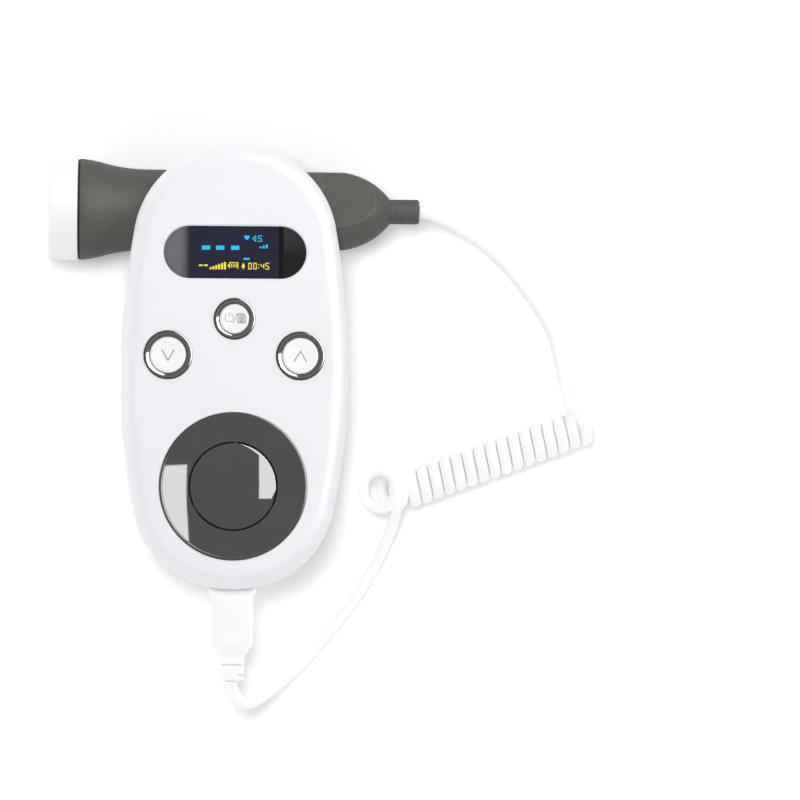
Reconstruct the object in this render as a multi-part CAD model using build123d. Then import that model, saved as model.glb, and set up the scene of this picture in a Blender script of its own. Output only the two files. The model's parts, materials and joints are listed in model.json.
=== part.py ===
from build123d import *
import os
from math import cos, pi, radians, sin, sqrt, tan

os.makedirs("parts", exist_ok=True)

# Handheld pulse doppler: case, clip-in probe on a curly cord, plug, and what they hold.
# Millimetres. +X is right, +Y is towards the probe end, +Z is out of the front face.
# z = 0 is the surface that the case lies on, and y = 0 is where the case is widest.

# Case outline: one end arc, two shoulder arcs and two long side arcs for each end.
HALF_W = 34.9
TOP_REACH = 72.0
TOP_END_R = 39.6
TOP_END_ANGLE = 5.7
TOP_SIDE_R = 275.6
BOTTOM_REACH = 64.3
BOTTOM_END_R = 36.0
BOTTOM_END_ANGLE = 18.2
BOTTOM_SIDE_R = 194.9
WALL = 2.0
FRONT_ROUND = 5.0
REAR_ROUND = 9.0
SEAM_Z = 18.0
SEAM_GROOVE = 0.35
TONGUE_H = 1.2
TONGUE_T = 0.9
TONGUE_GAP = 0.1

# Probe
HEAD_R = 15.65
HEAD_LEN = 9.1
HEAD_X = -57.7
HEAD_LIFT = 0.35
HEAD_ROUND = 1.2
HEAD_WALL = 1.5
MEMBRANE_T = 1.2
SEAL_T = 0.3
SEAL_SINK = 0.45
NECK_LEN = 4.0
NECK_GAP = 0.1
GRIP_R = 12.45
TAIL_R = 11.95
HANDLE_WALL = 4.2
TAIL_X = 33.0
HANDLE_END_X = 47.1
RELIEF_R = 3.8
RELIEF_LEN = 9.3
RELIEF_STEM_R = 2.8
RELIEF_STEM_LEN = 5.0
RELIEF_FLANGE_R = 4.2
RELIEF_FLANGE_T = 1.2
RELIEF_ROOM = 21.0
RELIEF_GAP = 0.05
RELIEF_CHAMFER = 0.6
FLARE = [(0.0, 0.93), (1.0, 0.98), (3.6, 0.86), (6.5, 0.66), (12.0, 0.25), (21.0, 0.0)]
TAIL_BULGE = (0.58, 0.65)
TAIL_LIP = 0.2
FACET_START_X = 20.5
FACET_FLAT_X = 27.0
FACET_H = 8.0
FACET_ROLL = 24.0
FACET_ROUND = 0.8
CRYSTAL_R = 11.0
CRYSTAL_T = 1.0
CRYSTAL_GAP = 1.0
PROBE_BOARD_W = 14.0
PROBE_BOARD_LEN = 62.0
PROBE_BOARD_SET_IN = 5.0
BOARD_T = 1.6

# Probe bay across the back of the case
PROBE_FROM_TOP = 19.8
BAY_GAP = 0.45
BAY_WALL = 1.6
BAY_LIP = 6.2
LIP_ROUND = 1.5
LIP_FOOT_ROUND = 2.0

# Display
DISPLAY_FROM_PROBE = 13.0
WINDOW_W = 43.8
WINDOW_H = 16.1
WINDOW_BEVEL = 0.55
WINDOW_SINK = 0.5
WINDOW_GAP = 0.1
WINDOW_FLANGE = 1.2
WINDOW_FLANGE_T = 0.8
PANEL_W = 26.7
PANEL_H = 19.3
PANEL_T = 1.5
CARRIER_EDGE = 1.5
CARRIER_T = 2.5
CARRIER_GAP = 0.2
CARRIER_LEG = 2.2
RIBBON_W = 12.0
RIBBON_T = 0.3
RIBBON_GAP = 0.5
RIBBON_BEND_R = 0.45
CONNECTOR_D = 2.2
CONNECTOR_H = 1.4
CONNECTOR_SIDE = 1.0
CONNECTOR_FROM_CARRIER = 2.0

# Buttons, bezels and switches
POWER_FROM_DISPLAY = 20.4
ARROWS_FROM_POWER = 11.2
ARROW_X = 20.3
POWER_RING_R = 6.35
POWER_CAP_R = 4.6
ARROW_RING_R = 7.45
ARROW_CAP_R = 5.6
CAP_GAP = 0.15
BEZEL_GAP = 0.1
BEZEL_FLANGE = 0.7
BEZEL_DEPTH = 3.0
BEZEL_PROUD = 0.35
BEZEL_EDGE = 0.25
BEZEL_CREST = 0.6
FUNNEL_DEPTH = 1.0
FUNNEL_FOOT = 0.15
CAP_SINK = 0.5
CAP_DISH = 0.12
CAP_FLANGE = 0.8
CAP_FLANGE_T = 1.4
CAP_REST_GAP = 0.2
CAP_ROUND = 0.45
SWITCH_W = 6.0
SWITCH_H = 3.5
PLUNGER_R = 1.6
PLUNGER_GAP = 0.15
PLUNGER_IN = 1.0
PLUNGER_END_GAP = 0.3
BUTTON_TRAVEL = 0.6

# Main board
BOARD_SINK = 10.0
BOARD_HALF_W = 25.5
BOARD_NECK_HALF_W = 20.0
BOARD_BELOW_ARROWS = 15.6
BOARD_SHOULDER = 3.2
BOARD_PAST_CARRIER = 0.6
POST_R = 2.2
POST_FROM_EDGE = 0.5
THREAD_GAP = 0.05
BOARD_SCREW_R = 0.75
BOARD_SCREW_GAP = 0.25
BOARD_SCREW_HEAD_R = 1.8
BOARD_SCREW_HEAD_H = 1.2
BOARD_SCREW_LEN = 5.0

# Chips: x, distance below the arrow keys, width, length and height
CHIPS = [
    (0.0, 5.0, 10.0, 10.0, 1.2),
    (-14.0, 9.5, 6.0, 5.0, 1.1),
    (12.0, 7.5, 4.0, 9.0, 2.4),
]

# Speaker
SPEAKER_FROM_END = 31.75
RING_R = 22.65
RING_GAP = 0.15
RING_SEAT = 3.2
RING_LIP = 0.8
RING_PROUD = 0.25
RING_EDGE = 0.2
DISH_R = 13.75
DISH_DEPTH = 2.4
DISH_SAG = 0.72
DISH_T = 1.6
RING_BACK_R = 20.6
LEDGE_T = 1.6
LEDGE_W = 1.8
SLOT_W = 0.55
DISC_CROWN = 0.9
DISC_SINK = 1.1
DISC_T = 1.5
DISC_EDGE = 0.25
DISC_STEM_R = 3.0
HUB_R = 3.4
HUB_T = 2.8
PEG_R = 1.6
PEG_GAP = 0.05
SPOKE_W = 2.2
SPOKE_T = 1.4
SPOKE_IN = 0.6
SPEAKER_GAP = 0.2
GASKET_T = 1.0
GASKET_W = 2.8
RIM_T = 1.0
RIM_W = 3.4
BASKET_T = 0.8
BASKET_DEPTH = 5.0
BASKET_R = 11.0
CONE_GAP = 0.1
CONE_T = 0.6
CONE_DEPTH = 4.3
CONE_CROWN = 1.1
CONE_CAP_R = 5.0
SURROUND_W = 2.0
SURROUND_T = 0.35
MAGNET_R = 9.0
MAGNET_T = 3.5
MAGNET_CHAMFER = 0.4
MAGNET_ROOM = 1.0

# Two AA cells and their door
CELL_D = 14.5
CELL_LEN = 50.5
CELL_ROUND = 0.5
NUB_R = 2.75
NUB_LEN = 1.0
CELL_GAP = 0.5
CELL_SIDE_GAP = 0.5
CELL_DOOR_GAP = 0.6
CELL_ROOF_GAP = 0.3
SPRING_LEN = 3.0
SPRING_WIRE_R = 0.45
SPRING_TURNS = 4
SPRING_BASE_R = 4.4
SPRING_STEP = 0.5
SPRING_BAR_T = 0.5
PLATE_T = 0.4
PLATE_EDGE = 1.0
BOX_WALL = 1.5
BOX_FROM_END = 9.8
DOOR_T = 2.0
DOOR_GAP = 0.2
DOOR_PAST_CELLS = 1.75
DOOR_RAIL = 1.2
DOOR_RAIL_T = 0.8
DOOR_TOP_LAND = 2.8
DOOR_FRAME_T = 1.4
DOOR_FRAME_W = 2.0
GRIP_GROOVES = 5
GRIP_PITCH = 2.0
GRIP_DEPTH = 0.6

# Case screws
SCREW_R = 1.15
SCREW_HEAD_R = 2.3
SCREW_HEAD_H = 2.0
SCREW_LEN = 20.0
SCREW_SINK = 5.0
SCREW_SHANK_GAP = 0.35
SCREW_HEAD_GAP = 0.2
DRIVE_LEN = 2.6
DRIVE_W = 0.6
DRIVE_DEPTH = 0.9
BOSS_WALL = 1.2
FRONT_BOSS_WALL = 1.9
BOSS_FROM_RAIL = 0.8
TOP_SCREW_FROM_SIDE = 9.4
TOP_SCREW_ABOVE_POWER = 9.2
BOTTOM_SCREW_FROM_END = 20.3

# Socket and plug
SOCKET_W = 13.2
SOCKET_H = 5.7
SOCKET_LEN = 10.0
SOCKET_LIFT = 0.45
SOCKET_SET_IN = 0.9
SOCKET_HOLE_DEPTH = 4.0
SOCKET_BOARD_T = 1.0
SOCKET_BOARD_W = 18.0
SOCKET_BOARD_SET_IN = 1.5
SOCKET_POST_R = 1.4
SOCKET_POST_X = 6.5
SOCKET_POST_FROM_END = 6.7
SHEET_T = 0.35
CONTACT_W = 10.6
CONTACT_H = 1.7
CONTACT_SET_IN = 1.2
CONTACT_LIFT = 0.1
PLUG_GAP = 0.25
PLUG_STOP_GAP = 0.15
PLUG_SHELL_IN = 11.2
PLUG_INSERT_SHORT = 0.3
PLUG_INSERT_GAP = 0.1
BOOT_W = 13.0
BOOT_H = 8.2
BOOT_LEN = 16.4
BOOT_TAPER = 4.2
BOOT_ROUND = 1.4
BOOT_FLANGE = 0.7
BOOT_FLANGE_T = 1.4
BOOT_WRAP = 2.0
TIP_W = 7.6
TIP_H = 6.0
TIP_LEN = 7.4
TIP_END_ROUND = 0.8
TIP_SLOT_W = 0.7
TIP_FACE_SLOT_AT = 2.6
TIP_FACE_SLOT_LEN = 6.0
TIP_FACE_SLOT_DEPTH = 1.1
TIP_SIDE_SLOT_AT = 5.5
TIP_SIDE_SLOT_DEPTH = 2.0
DOT_ROWS = 3
DOT_R = 0.36
DOT_SINK = 0.1
DOT_PITCH = 2.1
DOT_FROM_TAPER = 0.3

# Cord
CORD_R = 1.8
CORD_LIFT = 0.1
COIL_R = 6.2
COIL_BEND_R = 12.0
COIL_BEND_ANGLE = 74.0
COIL_BEND_LEAN = 20.0
FILLET_SHARE = 0.45

# Heights, built up from the resting surface to the front face
PROBE_Z = HEAD_R + HEAD_LIFT
BAY_R = GRIP_R + BAY_GAP
BAY_TOP = PROBE_Z + BAY_R + BAY_WALL
CELL_Z = DOOR_T + CELL_DOOR_GAP + CELL_D / 2
BOX_CEILING = CELL_Z + CELL_D / 2 + CELL_ROOF_GAP
BOX_TOP = BOX_CEILING + BOX_WALL
SOCKET_Z = BOX_TOP + SOCKET_LIFT + SOCKET_H / 2
DISPLAY_STACK = CARRIER_GAP + CARRIER_T + WINDOW_FLANGE_T + WALL
BASKET_STACK = GASKET_T + RIM_T + BASKET_DEPTH + BASKET_T
SPEAKER_STACK = MAGNET_ROOM + MAGNET_T + BASKET_STACK + DISH_T + DISH_DEPTH
FRONT_Z = max(BAY_TOP + DISPLAY_STACK, BOX_TOP + SPEAKER_STACK)
UNDER_FRONT = FRONT_Z - WALL
BOARD_TOP = FRONT_Z - BOARD_SINK
RING_SEAT_Z = FRONT_Z - RING_SEAT
RING_BACK_Z = FRONT_Z - DISH_DEPTH - DISH_T
SPEAKER_TOP = RING_BACK_Z - GASKET_T
PLUNGER_TOP = FRONT_Z - BEZEL_DEPTH - CAP_REST_GAP - CAP_FLANGE_T

# Widths inside the probe and the speaker
PROBE_CAVITY_R = GRIP_R - HANDLE_WALL
NECK_R = HEAD_R - HEAD_WALL - NECK_GAP
SPEAKER_R = RING_BACK_R - SPEAKER_GAP
RING_HOLE_R = RING_R + RING_GAP

# Places along the case
PROBE_Y = TOP_REACH - PROBE_FROM_TOP
DISPLAY_Y = PROBE_Y - DISPLAY_FROM_PROBE
POWER_Y = DISPLAY_Y - POWER_FROM_DISPLAY
ARROW_Y = POWER_Y - ARROWS_FROM_POWER
SPEAKER_Y = SPEAKER_FROM_END - BOTTOM_REACH
BOX_LOW_Y = BOX_FROM_END - BOTTOM_REACH
BOX_LEN = CELL_LEN + SPRING_LEN + 2 * PLATE_T
BOX_HIGH_Y = BOX_LOW_Y + BOX_LEN
DOOR_TOP_Y = BOX_HIGH_Y - DOOR_TOP_LAND
CELL_X = (CELL_D + CELL_GAP) / 2
BOX_HALF_W = CELL_X + CELL_D / 2 + CELL_SIDE_GAP
DOOR_HALF_W = BOX_HALF_W + DOOR_PAST_CELLS
PANEL_Z = UNDER_FRONT - WINDOW_FLANGE_T - PANEL_T
CARRIER_LOW_Y = DISPLAY_Y - PANEL_H / 2 - CARRIER_EDGE
BOARD_LOW_Y = ARROW_Y - BOARD_BELOW_ARROWS
BOARD_HIGH_Y = CARRIER_LOW_Y + CARRIER_LEG + BOARD_PAST_CARRIER
SOCKET_FRONT = -BOTTOM_REACH + WALL + SOCKET_SET_IN
SOCKET_POST_Y = SOCKET_POST_FROM_END - BOTTOM_REACH
PLUG_FRONT = -BOTTOM_REACH - PLUG_STOP_GAP
BOOT_END = PLUG_FRONT - BOOT_LEN - BOOT_TAPER
TIP_END = BOOT_END - TIP_LEN
SCREW_WELL_R = SCREW_HEAD_R + SCREW_HEAD_GAP
BOSS_R = SCREW_WELL_R + BOSS_WALL
BOTTOM_SCREW_X = DOOR_HALF_W + DOOR_RAIL + BOSS_FROM_RAIL + SCREW_WELL_R
BOTTOM_SCREW_Y = BOTTOM_SCREW_FROM_END - BOTTOM_REACH
TOP_SCREW_X = HALF_W - TOP_SCREW_FROM_SIDE
TOP_SCREW_Y = POWER_Y + TOP_SCREW_ABOVE_POWER
SCREWS = [
    (TOP_SCREW_X, TOP_SCREW_Y),
    (-TOP_SCREW_X, TOP_SCREW_Y),
    (BOTTOM_SCREW_X, BOTTOM_SCREW_Y),
    (-BOTTOM_SCREW_X, BOTTOM_SCREW_Y),
]
POST_IN = POST_R + POST_FROM_EDGE
POST_LOW = (BOARD_HALF_W - POST_IN, BOARD_LOW_Y + POST_IN)
POST_HIGH = (BOARD_NECK_HALF_W - POST_IN, POWER_Y + BOARD_SHOULDER + POST_R)
POSTS = [
    POST_LOW,
    (-POST_LOW[0], POST_LOW[1]),
    POST_HIGH,
    (-POST_HIGH[0], POST_HIGH[1]),
]
BUTTONS = {
    "power": (0, POWER_Y, POWER_RING_R, POWER_CAP_R),
    "down": (-ARROW_X, ARROW_Y, ARROW_RING_R, ARROW_CAP_R),
    "up": (ARROW_X, ARROW_Y, ARROW_RING_R, ARROW_CAP_R),
}
HEAD_END_X = HEAD_X + HEAD_LEN
HANDLE_X = HEAD_END_X + SEAL_T

# Reach of a cut past the piece that it opens, and past the whole case
PAST = 1.0
FAR = 200.0


def block(x, y, z):
    """Box between two values on each axis."""
    size = Box(x[1] - x[0], y[1] - y[0], z[1] - z[0])
    return Pos((x[0] + x[1]) / 2, (y[0] + y[1]) / 2, (z[0] + z[1]) / 2) * size


def rod(x, y, radius, low, high):
    """Upright cylinder between two heights."""
    return Pos(x, y, (low + high) / 2) * Cylinder(radius, high - low)


def turned(points, x=0.0, y=0.0):
    """Upright turned piece from (radius, height) points."""
    profile = make_face(Polyline(*[(r, 0, z) for r, z in points], close=True))
    return Pos(x, y, 0) * revolve(profile, Axis.Z)


def lathe(edges, y, z):
    """Piece turned about a line along X at y, z from edges drawn as (x, radius)."""
    return Pos(0, y, z) * revolve(make_face(edges), Axis.X)


def case_arcs(reach, end_r, end_angle, side_r, inset):
    """Points of one end's right-hand arcs, from the end arc to the widest place."""
    half_w = HALF_W - inset
    reach = reach - inset
    end_r = end_r - inset
    side_r = side_r - inset
    s = sin(radians(end_angle))
    c = cos(radians(end_angle))
    across = half_w - end_r * s
    along = reach - end_r * (1 - c)
    shoulder_r = (2 * across * side_r - across**2 - along**2) / (
        2 * (side_r * (1 - s) + across * s - along * c)
    )
    shoulder = Vector((end_r - shoulder_r) * s, reach - end_r + (end_r - shoulder_r) * c)
    side = Vector(half_w - side_r, 0)
    first = Vector(s, c)
    last = (shoulder - side).normalized()
    return [
        Vector(0, reach),
        shoulder + first * shoulder_r,
        shoulder + (first + last).normalized() * shoulder_r,
        shoulder + last * shoulder_r,
        side + (last + Vector(1, 0)).normalized() * side_r,
        Vector(half_w, 0),
    ]


def outline(inset):
    """Case outline in plan, pulled in by inset."""
    top = (TOP_REACH, TOP_END_R, TOP_END_ANGLE, TOP_SIDE_R)
    bottom = (BOTTOM_REACH, BOTTOM_END_R, BOTTOM_END_ANGLE, BOTTOM_SIDE_R)
    edges = []
    for up, size in ((1, top), (-1, bottom)):
        points = case_arcs(*size, inset)
        right = [(p.X, up * p.Y) for p in points]
        left = [(-p.X, up * p.Y) for p in points]
        edges.append(ThreePointArc(left[1], right[0], right[1]))
        for side in (right, left):
            edges.append(ThreePointArc(side[1], side[2], side[3]))
            edges.append(ThreePointArc(side[3], side[4], side[5]))
    return make_face(edges)


def puck(inset):
    """Closed form of the case, pulled in by inset, with both faces rounded over."""
    body = Pos(0, 0, inset) * extrude(outline(inset), FRONT_Z - 2 * inset)
    body = fillet(body.edges().group_by(Axis.Z)[-1], FRONT_ROUND - inset)
    return fillet(body.edges().group_by(Axis.Z)[0], REAR_ROUND - inset)


def along_x(edges):
    """Prism right across the case from edges drawn as (y, z)."""
    return extrude(Plane.YZ * make_face(edges), FAR / 2, both=True)


def bay_space():
    """Space that the probe lies in: open to the back and to the probe end."""
    lip_y = PROBE_Y - BAY_LIP
    tip_y = lip_y - LIP_ROUND
    reach = BAY_R + LIP_ROUND
    tip_z = PROBE_Z - sqrt(reach**2 - (PROBE_Y - tip_y) ** 2)
    touch_y = PROBE_Y - (PROBE_Y - tip_y) * BAY_R / reach
    touch_z = PROBE_Z - (PROBE_Z - tip_z) * BAY_R / reach
    top = PROBE_Z + BAY_R
    lip_mid = Vector(touch_y - tip_y, touch_z - tip_z).normalized() + Vector(1, 0)
    lip_mid = Vector(tip_y, tip_z) + lip_mid.normalized() * LIP_ROUND
    foot_y = lip_y - LIP_FOOT_ROUND
    foot = LIP_FOOT_ROUND * sqrt(0.5)
    return along_x(
        [
            Line((FAR, top), (PROBE_Y, top)),
            ThreePointArc((PROBE_Y, top), (PROBE_Y - BAY_R, PROBE_Z), (touch_y, touch_z)),
            ThreePointArc((touch_y, touch_z), lip_mid, (lip_y, tip_z)),
            Line((lip_y, tip_z), (lip_y, LIP_FOOT_ROUND)),
            ThreePointArc(
                (lip_y, LIP_FOOT_ROUND),
                (foot_y + foot, LIP_FOOT_ROUND - foot),
                (foot_y, 0),
            ),
            Line((foot_y, 0), (foot_y, -REAR_ROUND)),
            Line((foot_y, -REAR_ROUND), (FAR, -REAR_ROUND)),
            Line((FAR, -REAR_ROUND), (FAR, top)),
        ]
    )


def bay_core():
    """The bay with its wall, which the inside of the case leaves solid."""
    radius = BAY_R + BAY_WALL
    half = FAR / 2
    core = Pos(0, PROBE_Y, PROBE_Z) * Rot(0, 90, 0) * Cylinder(radius, FAR)
    core += block((-half, half), (PROBE_Y, FAR), (-REAR_ROUND, PROBE_Z + radius))
    lip_y = PROBE_Y - BAY_LIP - LIP_FOOT_ROUND - BAY_WALL
    return core + block((-half, half), (lip_y, PROBE_Y), (-REAR_ROUND, PROBE_Z / 2))


def screw_holes():
    """Clearance holes and sunk heads for the case screws, from the back."""
    holes = Part()
    for x, y in SCREWS:
        holes += rod(x, y, SCREW_R + SCREW_SHANK_GAP, -PAST, SEAM_Z + TONGUE_H)
        holes += rod(x, y, SCREW_WELL_R, -PAST, SCREW_SINK)
    return holes


def door_plate(gap):
    """Battery door's plate and side rails, grown by gap."""
    half_w = DOOR_HALF_W + gap
    top_y = DOOR_TOP_Y + gap
    plate = block((-half_w, half_w), (-FAR, top_y), (-PAST, DOOR_T + gap))
    rail_z = DOOR_T - DOOR_RAIL_T - gap
    rail_w = half_w + DOOR_RAIL
    return plate + block((-rail_w, rail_w), (-FAR, top_y), (rail_z, DOOR_T + gap))


def socket_hole():
    """Slot in the end wall that the plug goes in by."""
    half_w = SOCKET_W / 2 - SHEET_T
    half_h = SOCKET_H / 2 - SHEET_T
    y = (-BOTTOM_REACH - PAST, SOCKET_HOLE_DEPTH - BOTTOM_REACH)
    z = (SOCKET_Z - half_h, SOCKET_Z + half_h)
    return block((-half_w, half_w), y, z)


def seam_tongue(gap):
    """Ring on the rear case's edge that the front case fits over."""
    ring = extrude(outline(WALL - TONGUE_T - gap), TONGUE_H + gap)
    ring -= extrude(outline(WALL + gap), TONGUE_H + gap)
    return Pos(0, 0, SEAM_Z) * ring


def front_case(outer, cavity, bay):
    """Front shell with the visor over the probe, bosses and the speaker's seat."""
    shell = split(outer - cavity, Plane.XY.offset(SEAM_Z), keep=Keep.TOP)
    thread_r = SCREW_R + THREAD_GAP
    above = FRONT_Z + PAST
    for x, y in SCREWS:
        shell += rod(x, y, thread_r + FRONT_BOSS_WALL, SEAM_Z, UNDER_FRONT)
    for x, y in POSTS:
        shell += rod(x, y, POST_R, BOARD_TOP, UNDER_FRONT)
    for side in (-1, 1):
        low = SOCKET_Z + SOCKET_H / 2 + SOCKET_BOARD_T
        shell += rod(side * SOCKET_POST_X, SOCKET_POST_Y, SOCKET_POST_R, low, UNDER_FRONT)
    ledge_z = RING_SEAT_Z - LEDGE_T
    shell += rod(0, SPEAKER_Y, RING_HOLE_R + LEDGE_W, ledge_z, UNDER_FRONT)
    shell -= rod(0, SPEAKER_Y, RING_HOLE_R, RING_SEAT_Z, above)
    shell -= rod(0, SPEAKER_Y, RING_BACK_R + RING_GAP, BOARD_TOP, above)
    for x, y, ring_r, _ in BUTTONS.values():
        shell -= rod(x, y, ring_r + BEZEL_GAP, UNDER_FRONT - PAST, above)
    shell -= window_hole()
    for x, y in SCREWS:
        shell -= rod(x, y, thread_r, SEAM_Z, SCREW_SINK + SCREW_LEN + PAST)
    for x, y in POSTS:
        top = BOARD_TOP - BOARD_T + BOARD_SCREW_LEN + THREAD_GAP
        shell -= rod(x, y, BOARD_SCREW_R + THREAD_GAP, BOARD_TOP, top)
    groove = extrude(outline(-PAST), SEAM_GROOVE) - extrude(outline(SEAM_GROOVE), SEAM_GROOVE)
    shell -= Pos(0, 0, SEAM_Z) * groove
    shell -= seam_tongue(TONGUE_GAP)
    return shell - bay - socket_hole()


def window_hole():
    """Opening for the display window, bevelled at the front face."""
    hole = SlotOverall(WINDOW_W, WINDOW_H)
    wide = SlotOverall(WINDOW_W + 2 * WINDOW_BEVEL, WINDOW_H + 2 * WINDOW_BEVEL)
    opening = Pos(0, DISPLAY_Y, UNDER_FRONT - PAST) * extrude(hole, WALL + PAST)
    low = Plane((0, DISPLAY_Y, FRONT_Z - WINDOW_BEVEL)) * hole
    high = Plane((0, DISPLAY_Y, FRONT_Z)) * wide
    return opening + loft([low, high])


def rear_case(outer, cavity, bay):
    """Rear shell with the battery box, screw bosses and the lower half of the bay."""
    shell = split(outer - cavity, Plane.XY.offset(SEAM_Z), keep=Keep.BOTTOM)
    solid = split(outer, Plane.XY.offset(SEAM_Z), keep=Keep.BOTTOM)
    for x, y in SCREWS:
        shell += rod(x, y, BOSS_R, 0, SEAM_Z) & solid
    box_w = BOX_HALF_W + BOX_WALL
    box_y = (BOX_LOW_Y - BOX_WALL, BOX_HIGH_Y + BOX_WALL)
    shell += block((-box_w, box_w), box_y, (DOOR_T, BOX_TOP)) & outer
    frame_w = DOOR_HALF_W + DOOR_RAIL + DOOR_FRAME_W
    frame_z = (DOOR_T - DOOR_RAIL_T, DOOR_T + DOOR_FRAME_T)
    shell += block((-frame_w, frame_w), (-FAR, BOX_HIGH_Y + BOX_WALL), frame_z) & outer
    box_y = (BOX_LOW_Y, BOX_HIGH_Y)
    shell -= block((-BOX_HALF_W, BOX_HALF_W), box_y, (DOOR_T, BOX_CEILING))
    shell -= door_plate(DOOR_GAP)
    shell += seam_tongue(0) - bay_core()
    return shell - screw_holes() - bay - socket_hole()


def battery_door(outer):
    """Sliding door in the back: its lower end is part of the case's round edge."""
    door = door_plate(0) & outer
    grip_y = BOX_LOW_Y + GRIP_PITCH
    for step in range(GRIP_GROOVES):
        y = grip_y + step * GRIP_PITCH
        half_w = DOOR_HALF_W / 2
        door -= block((-half_w, half_w), (y, y + GRIP_PITCH / 2), (-PAST, GRIP_DEPTH))
    return door


def battery_cells():
    """Two AA cells, side by side and head to tail."""
    low = BOX_LOW_Y + PLATE_T
    cells = []
    for side in (-1, 1):
        can_low = low + (SPRING_LEN if side < 0 else NUB_LEN)
        can_high = can_low + CELL_LEN - NUB_LEN
        can = Cylinder(CELL_D / 2, CELL_LEN - NUB_LEN)
        can = fillet(can.edges(), CELL_ROUND)
        nub_y = can_high + NUB_LEN / 2 if side < 0 else can_low - NUB_LEN / 2
        cell = Pos(0, (can_low + can_high) / 2, 0) * Rot(90, 0, 0) * can
        cell += Pos(0, nub_y, 0) * Rot(90, 0, 0) * Cylinder(NUB_R, NUB_LEN)
        cells.append(Pos(side * CELL_X, 0, CELL_Z) * cell)
    return cells


def contact_plates():
    """One plate joins the cells at the low end, and each has its own at the other."""
    half_h = CELL_D / 2 - PLATE_EDGE
    z = (CELL_Z - half_h, CELL_Z + half_h)
    low = (BOX_LOW_Y, BOX_LOW_Y + PLATE_T)
    high = (BOX_HIGH_Y - PLATE_T, BOX_HIGH_Y)
    plates = [block((-CELL_X - half_h, CELL_X + half_h), low, z)]
    for side in (-1, 1):
        x = side * CELL_X
        plates.append(block((x - half_h, x + half_h), high, z))
    return plates


def battery_springs():
    """A cone spring at each cell's flat end, pressed down to its working length."""
    pitch = (SPRING_LEN - 2 * SPRING_WIRE_R) / (SPRING_TURNS - 1)
    tip_r = SPRING_BASE_R - (SPRING_TURNS - 1) * SPRING_STEP
    half_wire = SPRING_WIRE_R / 2
    bar_x = (-SPRING_BASE_R - half_wire, half_wire - tip_r)
    bar_y = (half_wire, SPRING_LEN - half_wire)
    bar_z = (-SPRING_BAR_T / 2, SPRING_BAR_T / 2)
    springs = []
    for side in (-1, 1):
        spring = block(bar_x, bar_y, bar_z)
        for turn in range(SPRING_TURNS):
            radius = SPRING_BASE_R - turn * SPRING_STEP
            lift = SPRING_WIRE_R + turn * pitch
            spring += Pos(0, lift, 0) * Rot(90, 0, 0) * Torus(radius, SPRING_WIRE_R)
        if side < 0:
            springs.append(Pos(-CELL_X, BOX_LOW_Y + PLATE_T, CELL_Z) * spring)
        else:
            turn_round = Rot(0, 0, 180)
            springs.append(Pos(CELL_X, BOX_HIGH_Y - PLATE_T, CELL_Z) * turn_round * spring)
    return springs


def case_screws():
    """Four pan-head screws that hold the two shells together."""
    screws = []
    for x, y in SCREWS:
        screw = rod(x, y, SCREW_R, SCREW_SINK, SCREW_SINK + SCREW_LEN)
        low = SCREW_SINK - SCREW_HEAD_H
        head = rod(x, y, SCREW_HEAD_R, low, SCREW_SINK)
        for turn in (0, 90):
            head -= Pos(x, y, low) * Rot(0, 0, turn) * Box(DRIVE_LEN, DRIVE_W, 2 * DRIVE_DEPTH)
        screws.append(screw + head)
    return screws


def board_screws():
    """Four small screws through the main board into the front case's posts."""
    screws = []
    under = BOARD_TOP - BOARD_T
    for x, y in POSTS:
        screw = rod(x, y, BOARD_SCREW_R, under, under + BOARD_SCREW_LEN)
        head = rod(x, y, BOARD_SCREW_HEAD_R, under - BOARD_SCREW_HEAD_H, under)
        screws.append(screw + head)
    return screws


def main_board():
    """Board under the front wall, narrower between the upper screw bosses."""
    z = (BOARD_TOP - BOARD_T, BOARD_TOP)
    shoulder = POWER_Y + BOARD_SHOULDER
    board = block((-BOARD_HALF_W, BOARD_HALF_W), (BOARD_LOW_Y, shoulder), z)
    neck = (-BOARD_NECK_HALF_W, BOARD_NECK_HALF_W)
    board += block(neck, (shoulder, BOARD_HIGH_Y), z)
    for x, y in POSTS:
        board -= rod(x, y, BOARD_SCREW_R + BOARD_SCREW_GAP, z[0] - PAST, z[1] + PAST)
    return board


def board_chips():
    """Processor, amplifier, crystal can and the ribbon's connector on the board."""
    chips = []
    for x, below, width, length, height in CHIPS:
        chips.append(Pos(x, ARROW_Y - below, BOARD_TOP + height / 2) * Box(width, length, height))
    half_w = RIBBON_W / 2 + CONNECTOR_SIDE
    high_y = CARRIER_LOW_Y - CONNECTOR_FROM_CARRIER
    z = (BOARD_TOP, BOARD_TOP + CONNECTOR_H)
    chips.append(block((-half_w, half_w), (high_y - CONNECTOR_D, high_y), z))
    return chips


def display_window():
    """Clear window with a flange that bears on the back of the front wall."""
    gap = 2 * WINDOW_GAP
    front = SlotOverall(WINDOW_W - gap, WINDOW_H - gap)
    back = SlotOverall(WINDOW_W + 2 * WINDOW_FLANGE, WINDOW_H + 2 * WINDOW_FLANGE)
    window = Pos(0, DISPLAY_Y, UNDER_FRONT) * extrude(front, WALL - WINDOW_SINK)
    low = UNDER_FRONT - WINDOW_FLANGE_T
    return window + Pos(0, DISPLAY_Y, low) * extrude(back, WINDOW_FLANGE_T)


def oled_panel():
    """Glass display panel, pressed up to the window by its carrier."""
    return Pos(0, DISPLAY_Y, PANEL_Z + PANEL_T / 2) * Box(PANEL_W, PANEL_H, PANEL_T)


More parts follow.
